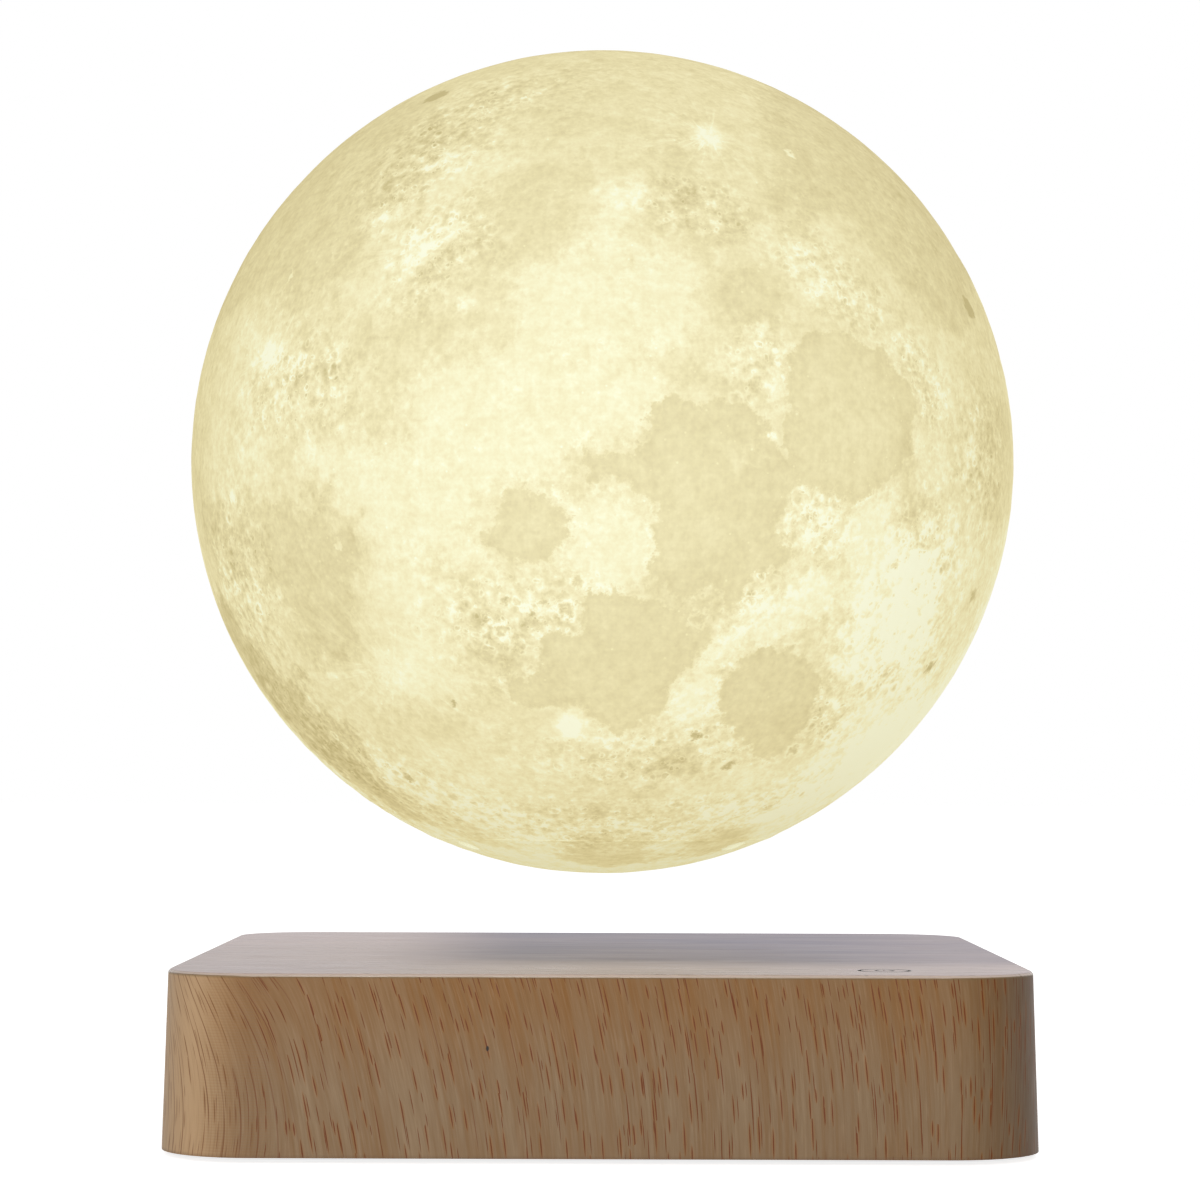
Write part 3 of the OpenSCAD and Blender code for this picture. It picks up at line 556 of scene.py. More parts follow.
FINISHES = {
    "side_wood": finish("veneer, sides", side_wood, Specular_IOR_Level=0.22),
    "top_wood": finish("veneer, top", top_wood, Specular_IOR_Level=0.5),
    "moon_plastic": finish("lit moon print", lit_moon, Emission_Strength=1.0,
                           Specular_IOR_Level=0.12),
    "board_core": finish("fibreboard", mottled((0.21, 0.13, 0.075), (0.31, 0.205, 0.125),
                                               260.0, 0.85, 5.0, 0.15, 0.5)),
    "cover_plastic": finish("cover plastic", mottled((0.020, 0.020, 0.021),
                                                     (0.030, 0.030, 0.031), 90.0, 0.62,
                                                     3.0, 0.08, 0.5)),
    "screw_steel": finish("screw steel", brushed((0.42, 0.42, 0.43), (0.56, 0.56, 0.57), 0.32),
                          Metallic=1.0),
    "foot_rubber": finish("foot rubber", mottled((0.016, 0.016, 0.017), (0.030, 0.030, 0.030),
                                                 200.0, 0.85, 4.0, 0.12, 0.6)),
    "circuit_board": finish("circuit board", circuit),
    "chip_black": finish("chip epoxy", mottled((0.012, 0.012, 0.013), (0.022, 0.022, 0.023),
                                               700.0, 0.55)),
    "ferrite": finish("ferrite", mottled((0.030, 0.030, 0.032), (0.060, 0.058, 0.058),
                                         420.0, 0.6, 6.0, 0.1, 0.5), Metallic=0.25),
    "former_plastic": finish("former nylon", mottled((0.66, 0.63, 0.54), (0.75, 0.72, 0.63),
                                                     60.0, 0.5)),
    "copper_wire": finish("copper wire", winding(False), Metallic=0.85),
    "core_iron": finish("core iron", brushed((0.16, 0.16, 0.17), (0.26, 0.26, 0.27), 0.45),
                        Metallic=0.9),
    "capacitor_sleeve": finish("capacitor sleeve", sleeve),
    "jack_plastic": finish("inlet plastic", mottled((0.014, 0.014, 0.014),
                                                    (0.022, 0.022, 0.022), 300.0, 0.38)),
    "contact_brass": finish("contact brass", brushed((0.62, 0.42, 0.16), (0.76, 0.55, 0.24), 0.26),
                            Metallic=1.0),
    "lead_sleeve": finish("lead sleeves", leads((0.42, 0.02, 0.015), (0.015, 0.015, 0.016))),
    "magnet_nickel": finish("magnet nickel", brushed((0.60, 0.57, 0.52), (0.70, 0.67, 0.61), 0.2),
                            Metallic=1.0),
    "led_plate": finish("LED plate", white_plate),
    "led_phosphor": finish("LED phosphor", phosphor, Emission_Strength=1.0),
}
FLAT_COIL = finish("copper wire, flat coils", winding(True), Metallic=0.85)


# -------- the globe's map

# Shores of the seas that face the viewer, as places in degrees (right, up) round the outline
SHORES = (
    ((26.5, 11.5), (29, 13.5), (33, 12.5), (36.5, 11.5), (39.5, 10.5), (42, 8.5), (44.5, 6.5),
     (45, 4.5), (44, 1), (43, -2.5), (42, -5), (39.5, -6.5), (37, -7.5), (34, -9), (31.5, -8.5),
     (28, -7.5), (26, -7), (24.5, -4.5), (23.5, -2), (24, 1), (23.5, 4), (23.5, 7), (24.5, 9.5)),
    ((6, 2.5), (8.5, 3.5), (12.5, 3), (16.5, 3.5), (18.5, 3.5), (20, 2), (21, -0.5), (22.5, -3),
     (24.5, -4.5), (26, -6.5), (25, -8), (24.5, -10), (23, -12), (24.5, -14.5), (26.5, -16),
     (25.5, -17), (23.5, -18), (21.5, -18.5), (20, -19.5), (19, -21.5), (18.5, -24.5), (17, -21.5),
     (15, -20.5), (13.5, -19.5), (12, -21.5), (10.5, -22.5), (8.5, -21), (7, -19.5), (6.5, -17.5),
     (7, -15.5), (6.5, -13.5), (7, -11.5), (7.5, -10), (6, -9), (4.5, -8.5), (2.5, -7.5), (0, -7),
     (-2, -7.5), (-3, -6), (-3.5, -4.5), (-2.5, -3), (-0.5, -3.5), (1, -4), (3, -3.5), (5, -2.5),
     (5.5, -0.5), (5.5, 1)),
    ((-1.5, -21.5), (1, -21), (3.5, -21.5), (5.5, -22.5), (7.5, -21.5), (9, -22.5), (11, -23.5),
     (13, -23), (15.5, -24), (16.5, -26), (16, -28), (14.5, -29.5), (13, -30.5), (12, -32.5),
     (10.5, -35), (10, -37), (9, -39), (6.5, -40.5), (4.5, -41), (2.5, -42.5), (0, -41),
     (-1.5, -39), (-4, -37.5), (-6.5, -38), (-9, -37.5), (-11.5, -38), (-13.5, -37), (-15, -35.5),
     (-15.5, -34), (-13.5, -32.5), (-11, -33.5), (-9, -32), (-7.5, -30), (-8, -28), (-6.5, -26.5),
     (-4, -26), (-2.5, -24)),
    ((21.5, -30), (23.5, -29), (26.5, -28.5), (29.5, -29), (32, -30), (34, -31.5), (36.5, -34),
     (38, -36.5), (37.5, -38.5), (37.5, -40), (37, -41.5), (37, -43.5), (35.5, -45), (33, -46.5),
     (29, -45), (26.5, -43.5), (23, -42), (20.5, -40), (19.5, -37.5), (18.5, -35), (19, -33.5),
     (20.5, -32)),
    ((-12.5, -8.5), (-10.5, -8), (-8, -8.5), (-6, -9), (-5, -10), (-4.5, -11.5), (-5, -13.5),
     (-6, -15.5), (-7, -17), (-9, -17.5), (-11.5, -17.5), (-13.5, -16.5), (-15, -15.5), (-16, -14),
     (-15, -13), (-14, -11.5), (-13.5, -10)),
    # and of a few on the far side
    ((141, 30), (147, 33), (155, 31), (158, 26), (152, 22), (145, 23), (140, 26)),
    ((-158, -38), (-150, -35), (-144, -38), (-143, -45), (-150, -49), (-158, -46)),
    ((112, -18), (118, -16), (123, -20), (121, -27), (114, -28), (110, -23)),
    ((-118, 8), (-112, 11), (-106, 8), (-105, 2), (-111, -2), (-117, 1)),
    ((-172, 8), (-166, 10), (-162, 6), (-165, 1), (-171, 2)),
)

# Darker plains with broken edges: how much darker, and the outline
DUSKS = (
    (0.14, ((-30.5, 50), (-28, 44.5), (-29.5, 40.5), (-30, 37), (-30.5, 34), (-33.5, 32), (-37.5, 30),
     (-38, 28), (-36, 25.5), (-31.5, 23.5), (-31, 22), (-33, 20), (-36.5, 19), (-39.5, 17.5),
     (-45, 17.5), (-51, 18.5), (-59, 20.5), (-65, 19.5), (-69, 18), (-76, 17), (-88, 22),
     (-96, 34), (-98, 48), (-88, 62), (-69.5, 56), (-50, 56.5))),
    (0.17, ((36.5, 53.5), (35, 48), (29, 42.5), (30, 37.5), (25.5, 33), (27.5, 31), (31.5, 32.5),
     (32, 29.5), (29.5, 26), (30.5, 24), (33.5, 28), (36.5, 31), (39.5, 29.5), (39, 26),
     (41, 24.5), (44.5, 23), (47.5, 21.5), (49.5, 19.5), (50.5, 16.5), (54, 15.5), (60, 17),
     (66.5, 21), (86, 26), (96, 34), (98, 48), (86, 58), (66, 66))),
    (0.2, ((-71.5, -6.5), (-55.5, -7), (-50, -8), (-45.5, -9.5), (-44, -13), (-42.5, -10.5),
     (-40.5, -7.5), (-38, -8), (-36.5, -10.5), (-37.5, -12), (-35, -12), (-33, -13),
     (-33.5, -15.5), (-36, -17), (-37, -19.5), (-36, -22), (-35.5, -25), (-37.5, -27.5),
     (-41, -28), (-40, -29.5), (-44.5, -30.5), (-48.5, -31), (-51, -29), (-52, -25.5),
     (-53, -21.5), (-54, -19), (-54.5, -16), (-59.5, -17), (-64, -16), (-67, -13.5), (-72.5, -10))),
    (0.07, ((-20.5, 33.5), (-16, 37), (-13.5, 39), (-8.5, 37), (-4, 36.5), (-3, 33.5), (-4.5, 30.5),
     (-8, 28.5), (-6.5, 26), (-9.5, 20.5), (-13.5, 19.5), (-17.5, 19), (-19.5, 22.5), (-20, 26),
     (-19, 30))),
    (0.04, ((-21, 52.5), (-21, 58.5), (-11.5, 62), (6, 63), (10.5, 58.5), (4.5, 51.5), (-4.5, 50),
     (-5.5, 44), (-10.5, 43), (-14, 46.5))),
    (0.1, ((8, 38.5), (14, 41), (17, 39.5), (16, 30.5), (14.5, 28), (12.5, 25), (10, 26.5), (8.5, 29.5),
     (8, 33.5))),
    (0.07, ((3.5, 23.5), (5.5, 25), (9, 24), (10, 21.5), (6.5, 20.5), (4, 21.5))),
    (0.12, ((16.5, 19), (19, 21), (23.5, 21.5), (25, 19), (25, 16), (23.5, 13.5), (21, 11), (17.5, 11.5),
     (16, 14.5), (15, 16.5))),
    (0.13, ((18.5, 28.5), (21.5, 28), (21, 24.5), (17.5, 25))),
    (0.09, ((-28, 17.5), (-22, 18), (-18.5, 16), (-17.5, 12.5), (-20.5, 11), (-24.5, 11.5), (-27.5, 14))),
    (0.12, ((-33.5, 15), (-29, 14.5), (-27.5, 12), (-31.5, 11.5), (-34, 13.5))),
    (0.1, ((-30, 3.5), (-27.5, 4), (-26.5, 2), (-27.5, -0.5), (-29.5, -0.5), (-30.5, 2))),
    (0.16, ((64.5, 7), (70.5, 7), (78, 6), (88, 0), (84, -8), (67, -10), (61.5, -9), (60, -6.5),
     (57.5, -4), (59.5, -1), (61, 3))),
    (0.16, ((42.5, -6), (47, -8), (49, -12.5), (45.5, -13.5), (42.5, -10.5))),
    (0.34, ((-14, -67.5), (-7, -64), (0.5, -63.5), (12.5, -65), (21.5, -69), (30, -76), (4, -78),
     (-8, -76), (-15.5, -73.5))),
    (0.34, ((32.5, -69.5), (29.5, -65), (34, -64), (33.5, -61), (40.5, -60), (45.5, -58), (52, -61.5),
     (50.5, -63.5), (58.5, -68), (26, -74), (20, -76))),
    (0.37, ((-74, -19), (-68.5, -24.5), (-64.5, -28), (-61.5, -32), (-55, -33.5), (-56, -37),
     (-52.5, -39), (-52, -42.5), (-52.5, -46.5), (-54, -50), (-56, -55), (-52, -64), (-66, -58),
     (-74, -48), (-80, -36), (-84, -24))),
    (0.15, ((-54, -55), (-44, -56), (-37.5, -58.5), (-36.5, -62.5), (-54, -64.5), (-30, -70), (-42, -66))),
    (0.05, ((6.5, 6.5), (11.5, 6), (15.5, 6.5), (19.5, 6), (18.5, 3.5), (12.5, 2.5), (6.5, 2.5))),
    (0.14, ((-19, -28), (-14.5, -28.5), (-12, -27.5), (-13, -32), (-16.5, -32.5), (-19.5, -30.5))),
    (0.03, ((-19.5, -37), (-10, -40), (-6.5, -44), (0, -44), (4, -48), (0, -55), (-8.5, -52.5),
     (-22, -52.5), (-32.5, -50.5), (-43.5, -48.5), (-41.5, -43.5), (-29.5, -39.5))),
    (0.04, ((-67.5, 8), (-61, 6.5), (-55, 1), (-55.5, -4), (-60, -7.5), (-70.5, -7), (-82, -2), (-84, 8))),
    (0.1, ((7, -44.5), (13, -45), (19, -46.5), (21.5, -49.5), (19.5, -52.5), (13.5, -51.5), (8, -49.5),
     (4, -46.5))),
    (0.14, ((6, -17.5), (8.5, -21), (12, -22.5), (14, -20), (16, -22.5), (17, -26), (14.5, -28),
     (12.5, -24), (8, -23.5), (5.5, -22.5), (4, -20.5))),
)

# Bright uplands: how much brighter, and the outline
PALES = (
    (0.2, ((-22, 9.5), (-16.5, 9.5), (-13, 12), (-12.5, 17), (-8, 20.5), (-3, 24.5), (-2, 30),
     (0, 33.5), (4, 33.5), (6, 29.5), (3.5, 25.5), (5.5, 20.5), (10.5, 21), (15.5, 20),
     (13, 15.5), (12.5, 10), (15.5, 9.5), (17.5, 8), (12.5, 7.5), (7, 8.5), (7, 3.5), (5, -2),
     (0, -3), (-3, -3.5), (-5, -7.5), (-7, -6.5), (-12.5, -7), (-13.5, -10), (-16, -9.5),
     (-18, -12), (-16.5, -15), (-15, -18), (-19.5, -18.5), (-23, -17.5), (-27, -17.5), (-33, -17),
     (-32.5, -11.5), (-35, -9), (-38.5, -6.5), (-42, -3), (-38.5, -1.5), (-33.5, -0.5),
     (-31.5, -1.5), (-26.5, -1.5), (-25.5, 2), (-25, 5.5))),
    (0.22, ((-5, -10), (0, -9), (5, -10.5), (7, -12.5), (6.5, -17.5), (5.5, -20), (0.5, -21.5),
     (-3.5, -20), (-6.5, -17.5), (-4.5, -13.5))),
    (0.17, ((-32.5, -17), (-21.5, -18.5), (-19, -22.5), (-19.5, -28), (-24.5, -31), (-20, -33),
     (-16, -33.5), (-21, -36.5), (-28, -36.5), (-34, -37), (-37, -35), (-35, -29), (-34, -22.5))),
    (0.27, ((27, -15.5), (33, -17), (33.5, -22), (29, -25), (28, -27.5), (22, -29), (18.5, -32),
     (19, -40), (15.5, -42), (10.5, -39.5), (10.5, -35.5), (14, -29.5), (16.5, -27), (23, -24),
     (25.5, -20.5))),
    (0.27, ((25.5, -9.5), (29, -7.5), (34, -9), (39.5, -6), (41.5, -9), (40.5, -12), (48, -14.5),
     (54.5, -20), (58.5, -27), (53, -31), (42.5, -34), (35.5, -30.5), (34, -22), (33, -17),
     (27, -15))),
    (0.15, ((44, 10.5), (45.5, 8.5), (47.5, 4.5), (44.5, -1), (47, -5), (51.5, -4.5), (52.5, -0.5),
     (56, 5), (54.5, 10.5), (49, 13))),
    (0.13, ((24.5, 30.5), (26.5, 29), (29.5, 25), (31.5, 21.5), (36, 18.5), (41, 17.5), (44, 14),
     (50, 13), (61.5, 15.5), (58.5, 12.5), (48.5, 11), (43.5, 12), (38, 13), (35, 16), (30, 17.5),
     (26, 18), (24.5, 22.5), (22, 25))),
    (0.08, ((34, 28.5), (39.5, 29.5), (39, 26), (35, 23.5), (32.5, 25.5))),
    (0.13, ((-20.5, 40), (-16.5, 38.5), (-18.5, 34), (-21.5, 29.5), (-23, 26.5), (-23.5, 22),
     (-26.5, 20), (-30, 17.5), (-35.5, 16.5), (-41, 17), (-36, 19), (-31, 22), (-29, 23.5),
     (-30, 25.5), (-35.5, 25.5), (-38, 28.5), (-34.5, 30), (-29.5, 30.5), (-29, 34.5),
     (-27.5, 38), (-26.5, 42))),
    (0.12, ((-62, 17), (-49.5, 15), (-45.5, 11), (-47.5, 9), (-54, 10), (-61.5, 12.5))),
    (0.22, ((43, -34), (53, -31), (65.5, -29.5), (66, -40), (60, -52), (44, -62), (50, -55),
     (42.5, -47.5), (44, -41.5), (44.5, -36.5))),
    (0.12, ((0, -42.5), (10, -40), (17.5, -42.5), (25.5, -45), (37, -47.5), (50, -55), (41.5, -56.5),
     (23, -55), (19.5, -53), (23, -50), (20, -45), (13.5, -43.5), (7, -44), (2, -46))),
)

# Soft patches: right, up, half length and half width in degrees, turn, and how much darker.
# The wide ones along the outline seen from the front are painted shade along the top, left and
# upper right and painted light along the bottom and right; the rest are tone of the map
PATCHES = (
    (28.5, -36.5, 11, 9, 0, 0.02), (34, 1, 11, 11, 0, -0.08), (-10, -12.5, 7, 6, 0, -0.05),
    (-35, -26, 4, 5, 70, 0.12), (-66, -46, 20, 6, -62, 0.3), (0, -76, 70, 16, 0, -0.34),
    (88, 40, 30, 22, 90, 0.18), (-88, 44, 30, 22, 90, 0.14), (0, 72, 30, 10, 0, 0.08),
    (17, -5, 1.5, 0.8, 90, -0.2), (28, 21, 6, 3, -40, -0.1), (19, 43, 3, 2.2, 60, -0.38),
    (-50, 11.5, 3, 2.2, 0, -0.3), (-5, -40.6, 2.2, 1.8, 90, -0.5), (0.7, 31, 3.5, 3, 0, -0.12),
    (-26.6, 24, 3, 2, 60, -0.24), (22.5, 5.5, 4, 1.4, 80, -0.25), (23, -23, 9, 2.2, 41, -0.12),
    (55, -18, 11, 11, 0, -0.21), (-22, -50, 24, 8, 10, -0.16), (-58, -4, 12, 16, 0, -0.14),
    (11, -13.5, 5, 6.5, 90, -0.06), (0, 84, 50, 9, 0, 0.24), (60, -34, 16, 10, -40, -0.08),
    (84, -14, 30, 12, 90, -0.22), (-88, 10, 40, 13, 90, 0.12), (64, -8, 12, 8, 80, -0.06),
    (43, -2, 1.6, 4, 0, 0.12), (-33, -31, 5, 5, 0, -0.1), (-72, -8, 16, 8, 90, 0.06),
    (30, -50, 20, 6, 20, -0.06), (72, -44, 15, 8, 60, -0.14), (45, -24, 8, 8, 0, -0.06),
)

# Broken ground, thick with small craters: right, up, half length, half width, turn
BROKEN = (
    (-12, -24.5, 11, 6, 0), (10, -46, 14, 6, 10), (29, -11, 6, 6, 0), (21, 8, 5, 5, 60),
    (-24, 24, 9, 6, 60), (33, 20, 10, 5, -40), (-58, -48, 22, 9, -50), (-62, -18, 12, 9, 60),
    (44, -55, 14, 5, 25), (50, -16, 9, 9, 0), (14, 30, 7, 5, 0), (47, 8, 8, 4, -60),
    (-44, 6, 12, 7, 0), (0, -62, 24, 7, 0), (62, -2, 8, 10, 0), (-30, 38, 12, 5, 55),
    (38, -38, 4, 12, 60), (22, -38, 4, 8, 0), (19, -20, 5, 6, 60), (-7, -34, 8, 3, 0),
    (120, -45, 30, 22, 0), (-125, 15, 26, 24, 0), (165, 15, 28, 22, 0), (-165, -20, 24, 22, 0),
    (95, 20, 16, 20, 0), (-90, -50, 24, 16, 0), (52, -27, 14, 10, -30), (-30, 46, 16, 7, 60),
)


def seen_from(ways, right, up):
    """Degrees east and north of a place on the globe, for each way out from its centre."""
    a = math.radians(right)
    out, east = facing(right, up), np.array([math.cos(a), math.sin(a), 0.0])
    north = np.cross(out, east)
    angle = np.degrees(np.arccos(np.clip(ways @ out, -1, 1)))
    x, y = ways @ east, ways @ north
    flat = np.maximum(np.hypot(x, y), 1e-9)
    return angle * x / flat, angle * y / flat


def oval(ways, right, up, length, width, turn):
    """How far out in an oval patch each way lies: 0 in its middle, 1 on its edge."""
    x, y = seen_from(ways, right, up)
    t = math.radians(turn)
    along, across = x * math.cos(t) + y * math.sin(t), y * math.cos(t) - x * math.sin(t)
    return np.hypot(along / length, across / width)


def inland(ways, shore):
    """Degrees that each way lies inside a shore, less than 0 outside it."""
    middle = np.mean([facing(*p) for p in shore], axis=0)
    right = math.degrees(math.atan2(middle[0], -middle[1]))
    up = math.degrees(math.asin(middle[2] / np.linalg.norm(middle)))
    near = ways @ facing(right, up) > 0.4
    x, y = seen_from(ways[near], right, up)
    sx, sy = seen_from(np.array([facing(*p) for p in shore]), right, up)
    nearest = np.full(len(x), 1e9)
    within = np.zeros(len(x), bool)
    for k in range(len(sx)):
        x0, y0, x1, y1 = sx[k - 1], sy[k - 1], sx[k], sy[k]
        dx, dy = x1 - x0, y1 - y0
        t = np.clip(((x - x0) * dx + (y - y0) * dy) / (dx * dx + dy * dy), 0, 1)
        nearest = np.minimum(nearest, np.hypot(x - x0 - t * dx, y - y0 - t * dy))
        if dy:
            within ^= ((y0 > y) != (y1 > y)) & (x < x0 + (y - y0) * dx / dy)
    found = np.full(len(ways), -1e9)
    found[near] = np.where(within, nearest, -nearest)
    return found


def regions(ways, table):
    """Degrees inside the nearest of some regions, and that region's strength."""
    reach = np.array([inland(ways, outline) for strength, outline in table])
    return reach.max(axis=0), np.array([row[0] for row in table])[reach.argmax(axis=0)]


def survey(ways):
    """The fields of the globe's map for each way out from its centre."""
    sea = np.max([inland(ways, shore) for shore in SHORES], axis=0)
    dusk, darker = regions(ways, DUSKS)
    pale, brighter = regions(ways, PALES)
    # the far side, which the photograph doesn't show, gets plains and uplands by chance
    drift = np.array([noise.fractal(Vector(w) * 1.9 + Vector((4, 2, 7)), 0.9, 2.0, 5) for w in ways])
    front = np.clip((0.5 - ways[:, 1]) / 0.65, 0, 1) ** 2 * 30
    for field, strength, far, level in ((dusk, darker, drift * 24 - 5 - front, 0.18),
                                        (pale, brighter, -drift * 24 - 1 - front, 0.2)):
        strength[far > field] = level
        np.maximum(field, far, out=field)
    shade = np.zeros(len(ways))
    # these add the map's soft tone and the painted shade and light along the front view's outline
    for *patch, depth in PATCHES:
        shade += depth * np.exp(-oval(ways, *patch) ** 3)
    broken = np.max([np.exp(-oval(ways, *patch) ** 3) for patch in BROKEN], axis=0)
    return {"sea": 0.5 + sea / SPAN, "dusk": 0.5 + dusk / SPAN, "darker": darker,
            "pale": 0.5 + pale / SPAN, "brighter": brighter, "shade": 0.5 + shade / 2,
            "rough": broken}


def craters(ways, sea, broken):
    """Heights in mm of the larger craters: bowls with raised rims, fewer on the seas."""
    rng = random.Random(11)
    height = np.zeros(len(ways))
    for _ in range(300):
        up = math.degrees(math.asin(rng.uniform(-1, 1)))
        right, size, luck = rng.uniform(-180, 180), 1.2 + 2.4 * rng.random() ** 4, rng.random()
        out = facing(right, up)
        reach = math.radians(size)
        near = np.flatnonzero(ways @ out > math.cos(2.2 * reach))
        if not len(near) or sea[near].mean() > -0.5 or luck > 0.35 + 0.65 * broken[near].mean():
            continue
        r = np.arccos(np.clip(ways[near] @ out, -1, 1)) / reach
        depth = 0.08 + 0.04 * size
        bowl = np.where(r < 1, (r * r - 1) * depth, 0)
        rim = np.exp(-((r - 1.08) / 0.22) ** 2) * depth * 0.45
        height[near] += bowl + rim
    return height


def clear():
    """Object mode with nothing selected."""
    if bpy.context.object and bpy.context.object.mode != "OBJECT":
        bpy.ops.object.mode_set(mode="OBJECT")
    bpy.ops.object.select_all(action="DESELECT")


def take(*pieces):
    """Object mode with only these pieces selected and the last of them active."""
    clear()
    for piece in pieces:
        piece.select_set(True)
    bpy.context.view_layer.objects.active = pieces[-1]


def ball(radius, cuts):
    """A cube cut small and pushed out to a ball round the globe's centre."""
    clear()
    bpy.ops.mesh.primitive_cube_add(size=radius, location=(0, 0, GLOBE_Z))
    piece = bpy.context.object
    bpy.ops.object.mode_set(mode="EDIT")
    bpy.ops.mesh.select_all(action="SELECT")
    for count in cuts:
        bpy.ops.mesh.subdivide(number_cuts=count)
    bpy.ops.transform.tosphere(value=1)
    bpy.ops.object.mode_set(mode="OBJECT")
    piece.scale = (radius / piece.data.vertices[0].co.length,) * 3
    bpy.ops.object.transform_apply(location=True, rotation=True, scale=True)
    return piece


def cut_ball(piece, height, keep_upper):
    """Cuts a ball level at a height over the globe's centre."""
    bpy.ops.object.mode_set(mode="EDIT")
    bpy.ops.mesh.select_all(action="SELECT")
    bpy.ops.mesh.bisect(plane_co=(0, 0, GLOBE_Z + height), plane_no=(0, 0, 1),
                        clear_inner=keep_upper, clear_outer=not keep_upper, threshold=1e-6)
    bpy.ops.mesh.select_all(action="SELECT")
    bpy.ops.mesh.remove_doubles(threshold=0.00006)


def pick_open_edges():
    bpy.ops.mesh.select_mode(type="EDGE")
    bpy.ops.mesh.select_all(action="DESELECT")
    bpy.ops.mesh.select_non_manifold()


def run_rim(rings):
    """Draws the open edge on from the first ring of (radius, height) through the others."""
    pick_open_edges()
    for (radius, height), (next_radius, next_height) in zip(rings, rings[1:]):
        bpy.ops.mesh.extrude_region_move(
            TRANSFORM_OT_translate={"value": (0, 0, next_height - height)})
        size = next_radius / radius
        bpy.ops.transform.resize(value=(size, size, 1))


def true_rings(piece, rings):
    """Puts the points of each ring of (radius, height) exactly on its circle."""
    for vertex in piece.data.vertices:
        away, height = vertex.co.xy.length, vertex.co.z - GLOBE_Z
        for radius, level in rings:
            if abs(away - radius) < 1e-4 and abs(height - level) < 1e-4:
                vertex.co.xy *= radius / away
                vertex.co.z = GLOBE_Z + level


def skin_z(radius):
    return -math.sqrt(GLOBE_R ** 2 - radius ** 2)


def drill(piece, radius, x, y, low, high):
    """Cuts a round hole between two heights over the globe's centre."""
    clear()
    low, high = GLOBE_Z + low, GLOBE_Z + high
    bpy.ops.mesh.primitive_cylinder_add(vertices=32, radius=radius, depth=high - low,
                                        location=(x, y, (low + high) / 2))
    cutter = bpy.context.object
    take(piece)
    cut = piece.modifiers.new("hole", "BOOLEAN")
    cut.object, cut.operation, cut.solver = cutter, "DIFFERENCE", "EXACT"
    bpy.ops.object.modifier_apply(modifier=cut.name)
    bpy.data.objects.remove(cutter)


def dress_globe(piece):
    """Sculpts the outer skin inward and writes the map that the finish reads."""
    mesh = piece.data
    points = np.empty(len(mesh.vertices) * 3)
    mesh.vertices.foreach_get("co", points)
    points = points.reshape(-1, 3)
    from_centre = points - (0, 0, GLOBE_Z)
    reach = np.linalg.norm(from_centre, axis=1)
    ways = from_centre / reach[:, None]
    chart = survey(ways)
    sea, broken = (chart["sea"] - 0.5) * SPAN, chart["rough"]
    for name, field in chart.items():
        field = np.clip(field, 0, 1)
        mesh.attributes.new(name, "FLOAT", "POINT").data.foreach_set("value",
                                                                     field.astype(np.float32))
    skin = reach > GLOBE_R - 2e-5
    hills = np.array([noise.fractal(Vector(w) * 7.0, 0.9, 2.1, 6) for w in ways[skin]])
    small = np.array([noise.fractal(Vector(w) * 24.0, 0.8, 2.0, 4) for w in ways[skin]])
    seas = 1 / (1 + np.exp(-np.clip(sea[skin] / 0.8, -30, 30)))
    height = (hills * 0.06 + small * (0.04 + 0.05 * broken[skin])) * (1 - 0.8 * seas)
    height += craters(ways[skin], sea[skin], broken[skin])
    height += -0.12 - 0.14 * seas
    seam = np.degrees(np.arccos(np.clip(-ways[skin][:, 2], -1, 1)))
    edge = math.degrees(math.asin(PORT_R / GLOBE_R))
    height = np.clip(height, -1.0, 0.0) * np.clip(np.abs(seam - edge) / 1.5 - 0.08, 0, 1)
    points[skin] = ways[skin] * (GLOBE_R + height[:, None] * MM) + (0, 0, GLOBE_Z)
    mesh.vertices.foreach_set("co", points.ravel())
    mesh.update()


def settle(piece, name, finish_name, body, stands_for, angle=40):
    """Names a finished piece, smooths it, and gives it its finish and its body."""
    take(piece)
    bpy.ops.object.shade_smooth_by_angle(angle=math.radians(angle))
    piece.name = piece.data.name = name
    piece.data.materials.clear()
    piece.data.materials.append(FINISHES[finish_name])
    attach(piece, body)
    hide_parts(stands_for)


def globe_shell():
    skin = ball(GLOBE_R, cuts=(58, 1))
    rings = [(PORT_R, skin_z(PORT_R)), (PORT_R, LEDGE_Z), (LEDGE_R, LEDGE_Z), (LEDGE_R, LEDGE_TOP),
             (COLLAR_R, LEDGE_TOP)]
    cut_ball(skin, skin_z(PORT_R), keep_upper=True)
    run_rim(rings)
    inner_r = GLOBE_R - WALL
    lining = ball(inner_r, cuts=(39,))
    cut_ball(lining, -math.sqrt(inner_r ** 2 - COLLAR_R ** 2), keep_upper=True)
    bpy.ops.mesh.select_all(action="SELECT")
    bpy.ops.mesh.flip_normals()
    take(lining, skin)
    bpy.ops.object.join()
    bpy.ops.object.mode_set(mode="EDIT")
    pick_open_edges()
    bpy.ops.mesh.bridge_edge_loops()
    bpy.ops.object.mode_set(mode="OBJECT")
    true_rings(skin, rings)
    dress_globe(skin)
    settle(skin, "globe_skin", "moon_plastic", "moon", "moon_shell")


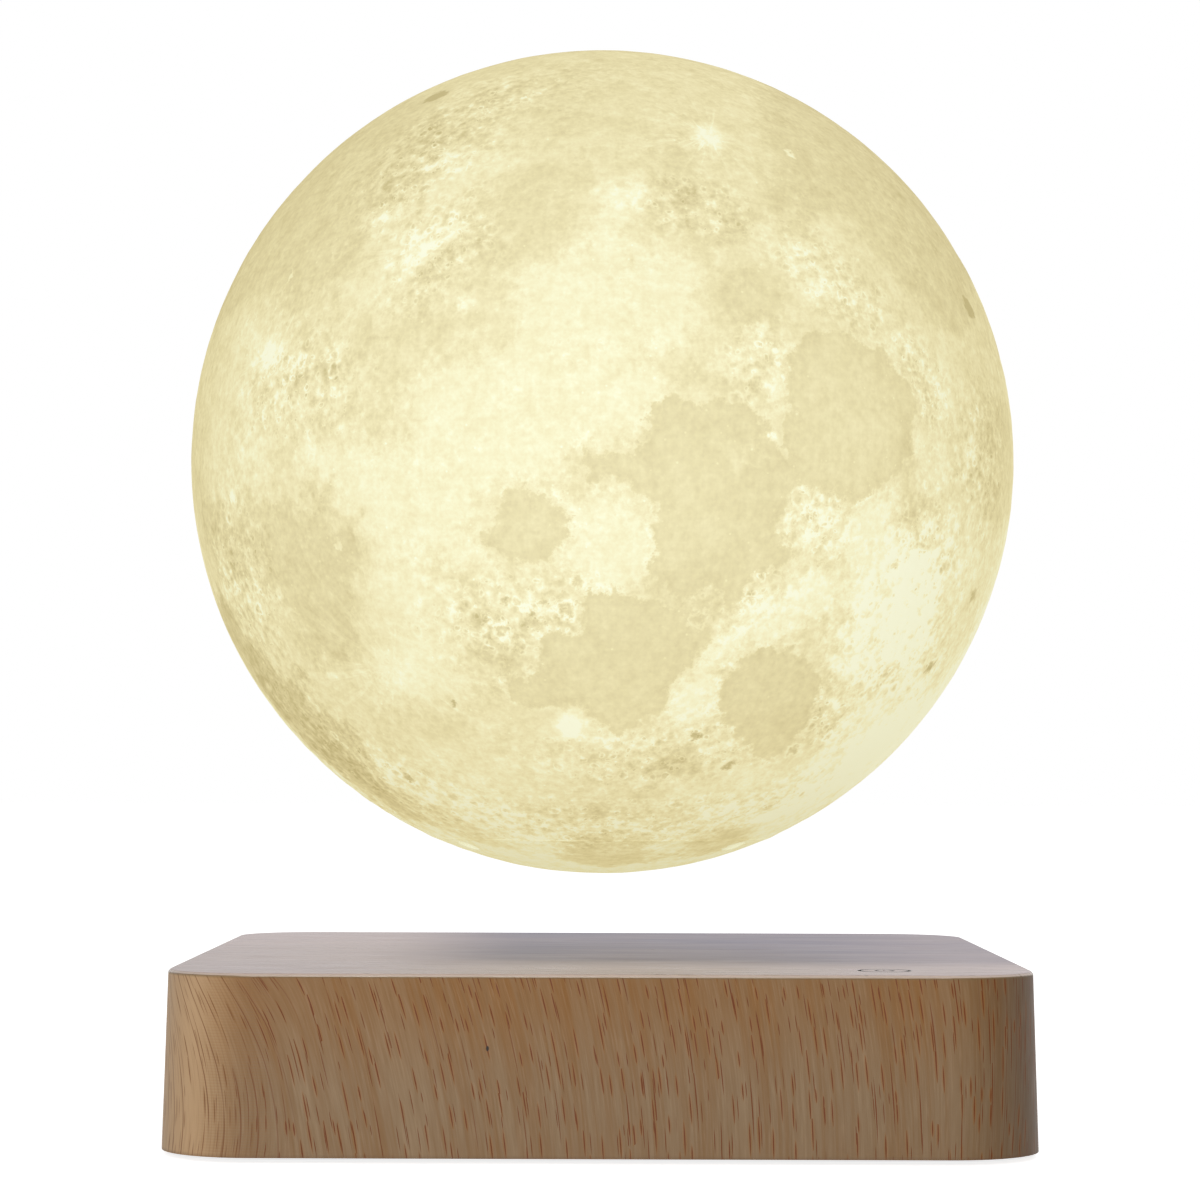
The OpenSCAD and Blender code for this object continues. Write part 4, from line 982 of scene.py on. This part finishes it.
def globe_cap():
    cap = ball(GLOBE_R, cuts=(58, 1))
    rings = [(CAP_R, skin_z(CAP_R)), (CAP_R, LEDGE_Z), (COIL_POCKET_R, LEDGE_Z),
             (COIL_POCKET_R, CAP_STEP_Z), (MAGNET_POCKET_R, CAP_STEP_Z),
             (MAGNET_POCKET_R, CAP_FLOOR_Z)]
    cut_ball(cap, skin_z(CAP_R), keep_upper=False)
    run_rim(rings)
    bpy.ops.mesh.edge_face_add()
    clear()
    true_rings(cap, rings)
    dress_globe(cap)
    for angle in (90, 210, 330):
        a = math.radians(angle)
        x, y = CAP_SCREW_RING * math.cos(a), CAP_SCREW_RING * math.sin(a)
        drill(cap, CAP_SCREW_HOLE_R, x, y, CAP_HOLE_LOW, CAP_HOLE_HIGH)
        drill(cap, CAP_SCREW_HEAD_R, x, y, CAP_HOLE_LOW, CAP_SCREW_Z)
    settle(cap, "globe_cap", "moon_plastic", "moon", "moon_cap")


# -------- putting it together

for node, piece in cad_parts.items():
    slot_name = piece.data.materials[0].name.split(".")[0]
    chosen = FLAT_COIL if node in ("transmit_coil", "receive_coil") else FINISHES[slot_name]
    for k in range(len(piece.material_slots)):
        piece.material_slots[k].material = chosen

globe_shell()
globe_cap()


# -------- stage, lamps and camera

def stage_paper():
    """White paper: the camera and reflections see it white, shadows stay."""
    material = bpy.data.materials.new("white paper")
    material.use_nodes = True
    tree = material.node_tree
    tree.nodes.clear()
    start = Wire(tree)
    seen = start.node("LightPath", output="Is Camera Ray").over(
        start.node("LightPath", output="Is Glossy Ray"))
    cloud = start.node("TexCoord", output="Object").noise(3.0, 2.0)
    colour = cloud.clouded((0.88, 0.88, 0.88), (0.90, 0.90, 0.90))
    paper = start.node("BsdfDiffuse", None, {"Color": colour})
    lift = start.node("Emission", None, {"Color": (1, 1, 1, 1), "Strength": seen * 0.80})
    both = start.node("AddShader", None, {0: paper, 1: lift})
    end = tree.nodes.new("ShaderNodeOutputMaterial")
    tree.links.new(both.socket, end.inputs["Surface"])
    return material


def stage():
    clear()
    bpy.ops.mesh.primitive_plane_add(size=8.0, location=(0, 2.5, 0))
    floor = bpy.context.object
    floor.name = "floor"
    floor.data.materials.append(stage_paper())


def daylight():
    world = bpy.data.worlds.new("daylight")
    bpy.context.scene.world = world
    world.use_nodes = True
    tree = world.node_tree
    tree.nodes.clear()
    start = Wire(tree)
    seen = start.node("LightPath", output="Is Camera Ray").over(
        start.node("LightPath", output="Is Glossy Ray")).over(
        start.node("LightPath", output="Is Transmission Ray"))
    sky = start.node("Background", None, {"Color": (1, 1, 1, 1),
                                          "Strength": seen * 0.73 + 0.27})
    end = tree.nodes.new("ShaderNodeOutputWorld")
    tree.links.new(sky.socket, end.inputs["Surface"])


def lamp(name, right, up, distance, size, level):
    """A square lamp on the globe's middle; a white sheet facing it would show this level."""
    aim = Vector((0, 0, 0.11))
    place = aim + Vector(facing(right, up)) * distance
    bpy.ops.object.light_add(type="AREA", location=place)
    made = bpy.context.object
    made.name = name
    made.data.size = size
    made.data.energy = level * (math.pi * distance) ** 2
    made.rotation_euler = (place - aim).to_track_quat("Z", "Y").to_euler()


def viewpoint():
    """The photograph's view, found from the base's outline and the globe's circle."""
    bpy.ops.object.camera_add()
    camera = bpy.context.object
    camera.name = "camera"
    camera.data.sensor_width = 36.0
    camera.data.lens = 104.4
    yaw, pitch, roll = -0.0004, 0.0483, 0.0033
    place = (-0.00042, -0.7639, 0.0767)
    camera.matrix_world = (Matrix.Rotation(-yaw, 4, "Z") @ Matrix.Translation(place)
                           @ Matrix.Rotation(math.pi / 2 + pitch, 4, "X")
                           @ Matrix.Rotation(roll, 4, "Z"))
    bpy.context.scene.camera = camera


stage()
daylight()
lamp("key lamp", right=-6, up=9, distance=1.1, size=0.5, level=0.66)
lamp("back lamp", right=150, up=50, distance=1.3, size=0.6, level=0.25)
viewpoint()
bpy.context.scene.view_settings.view_transform = "Standard"
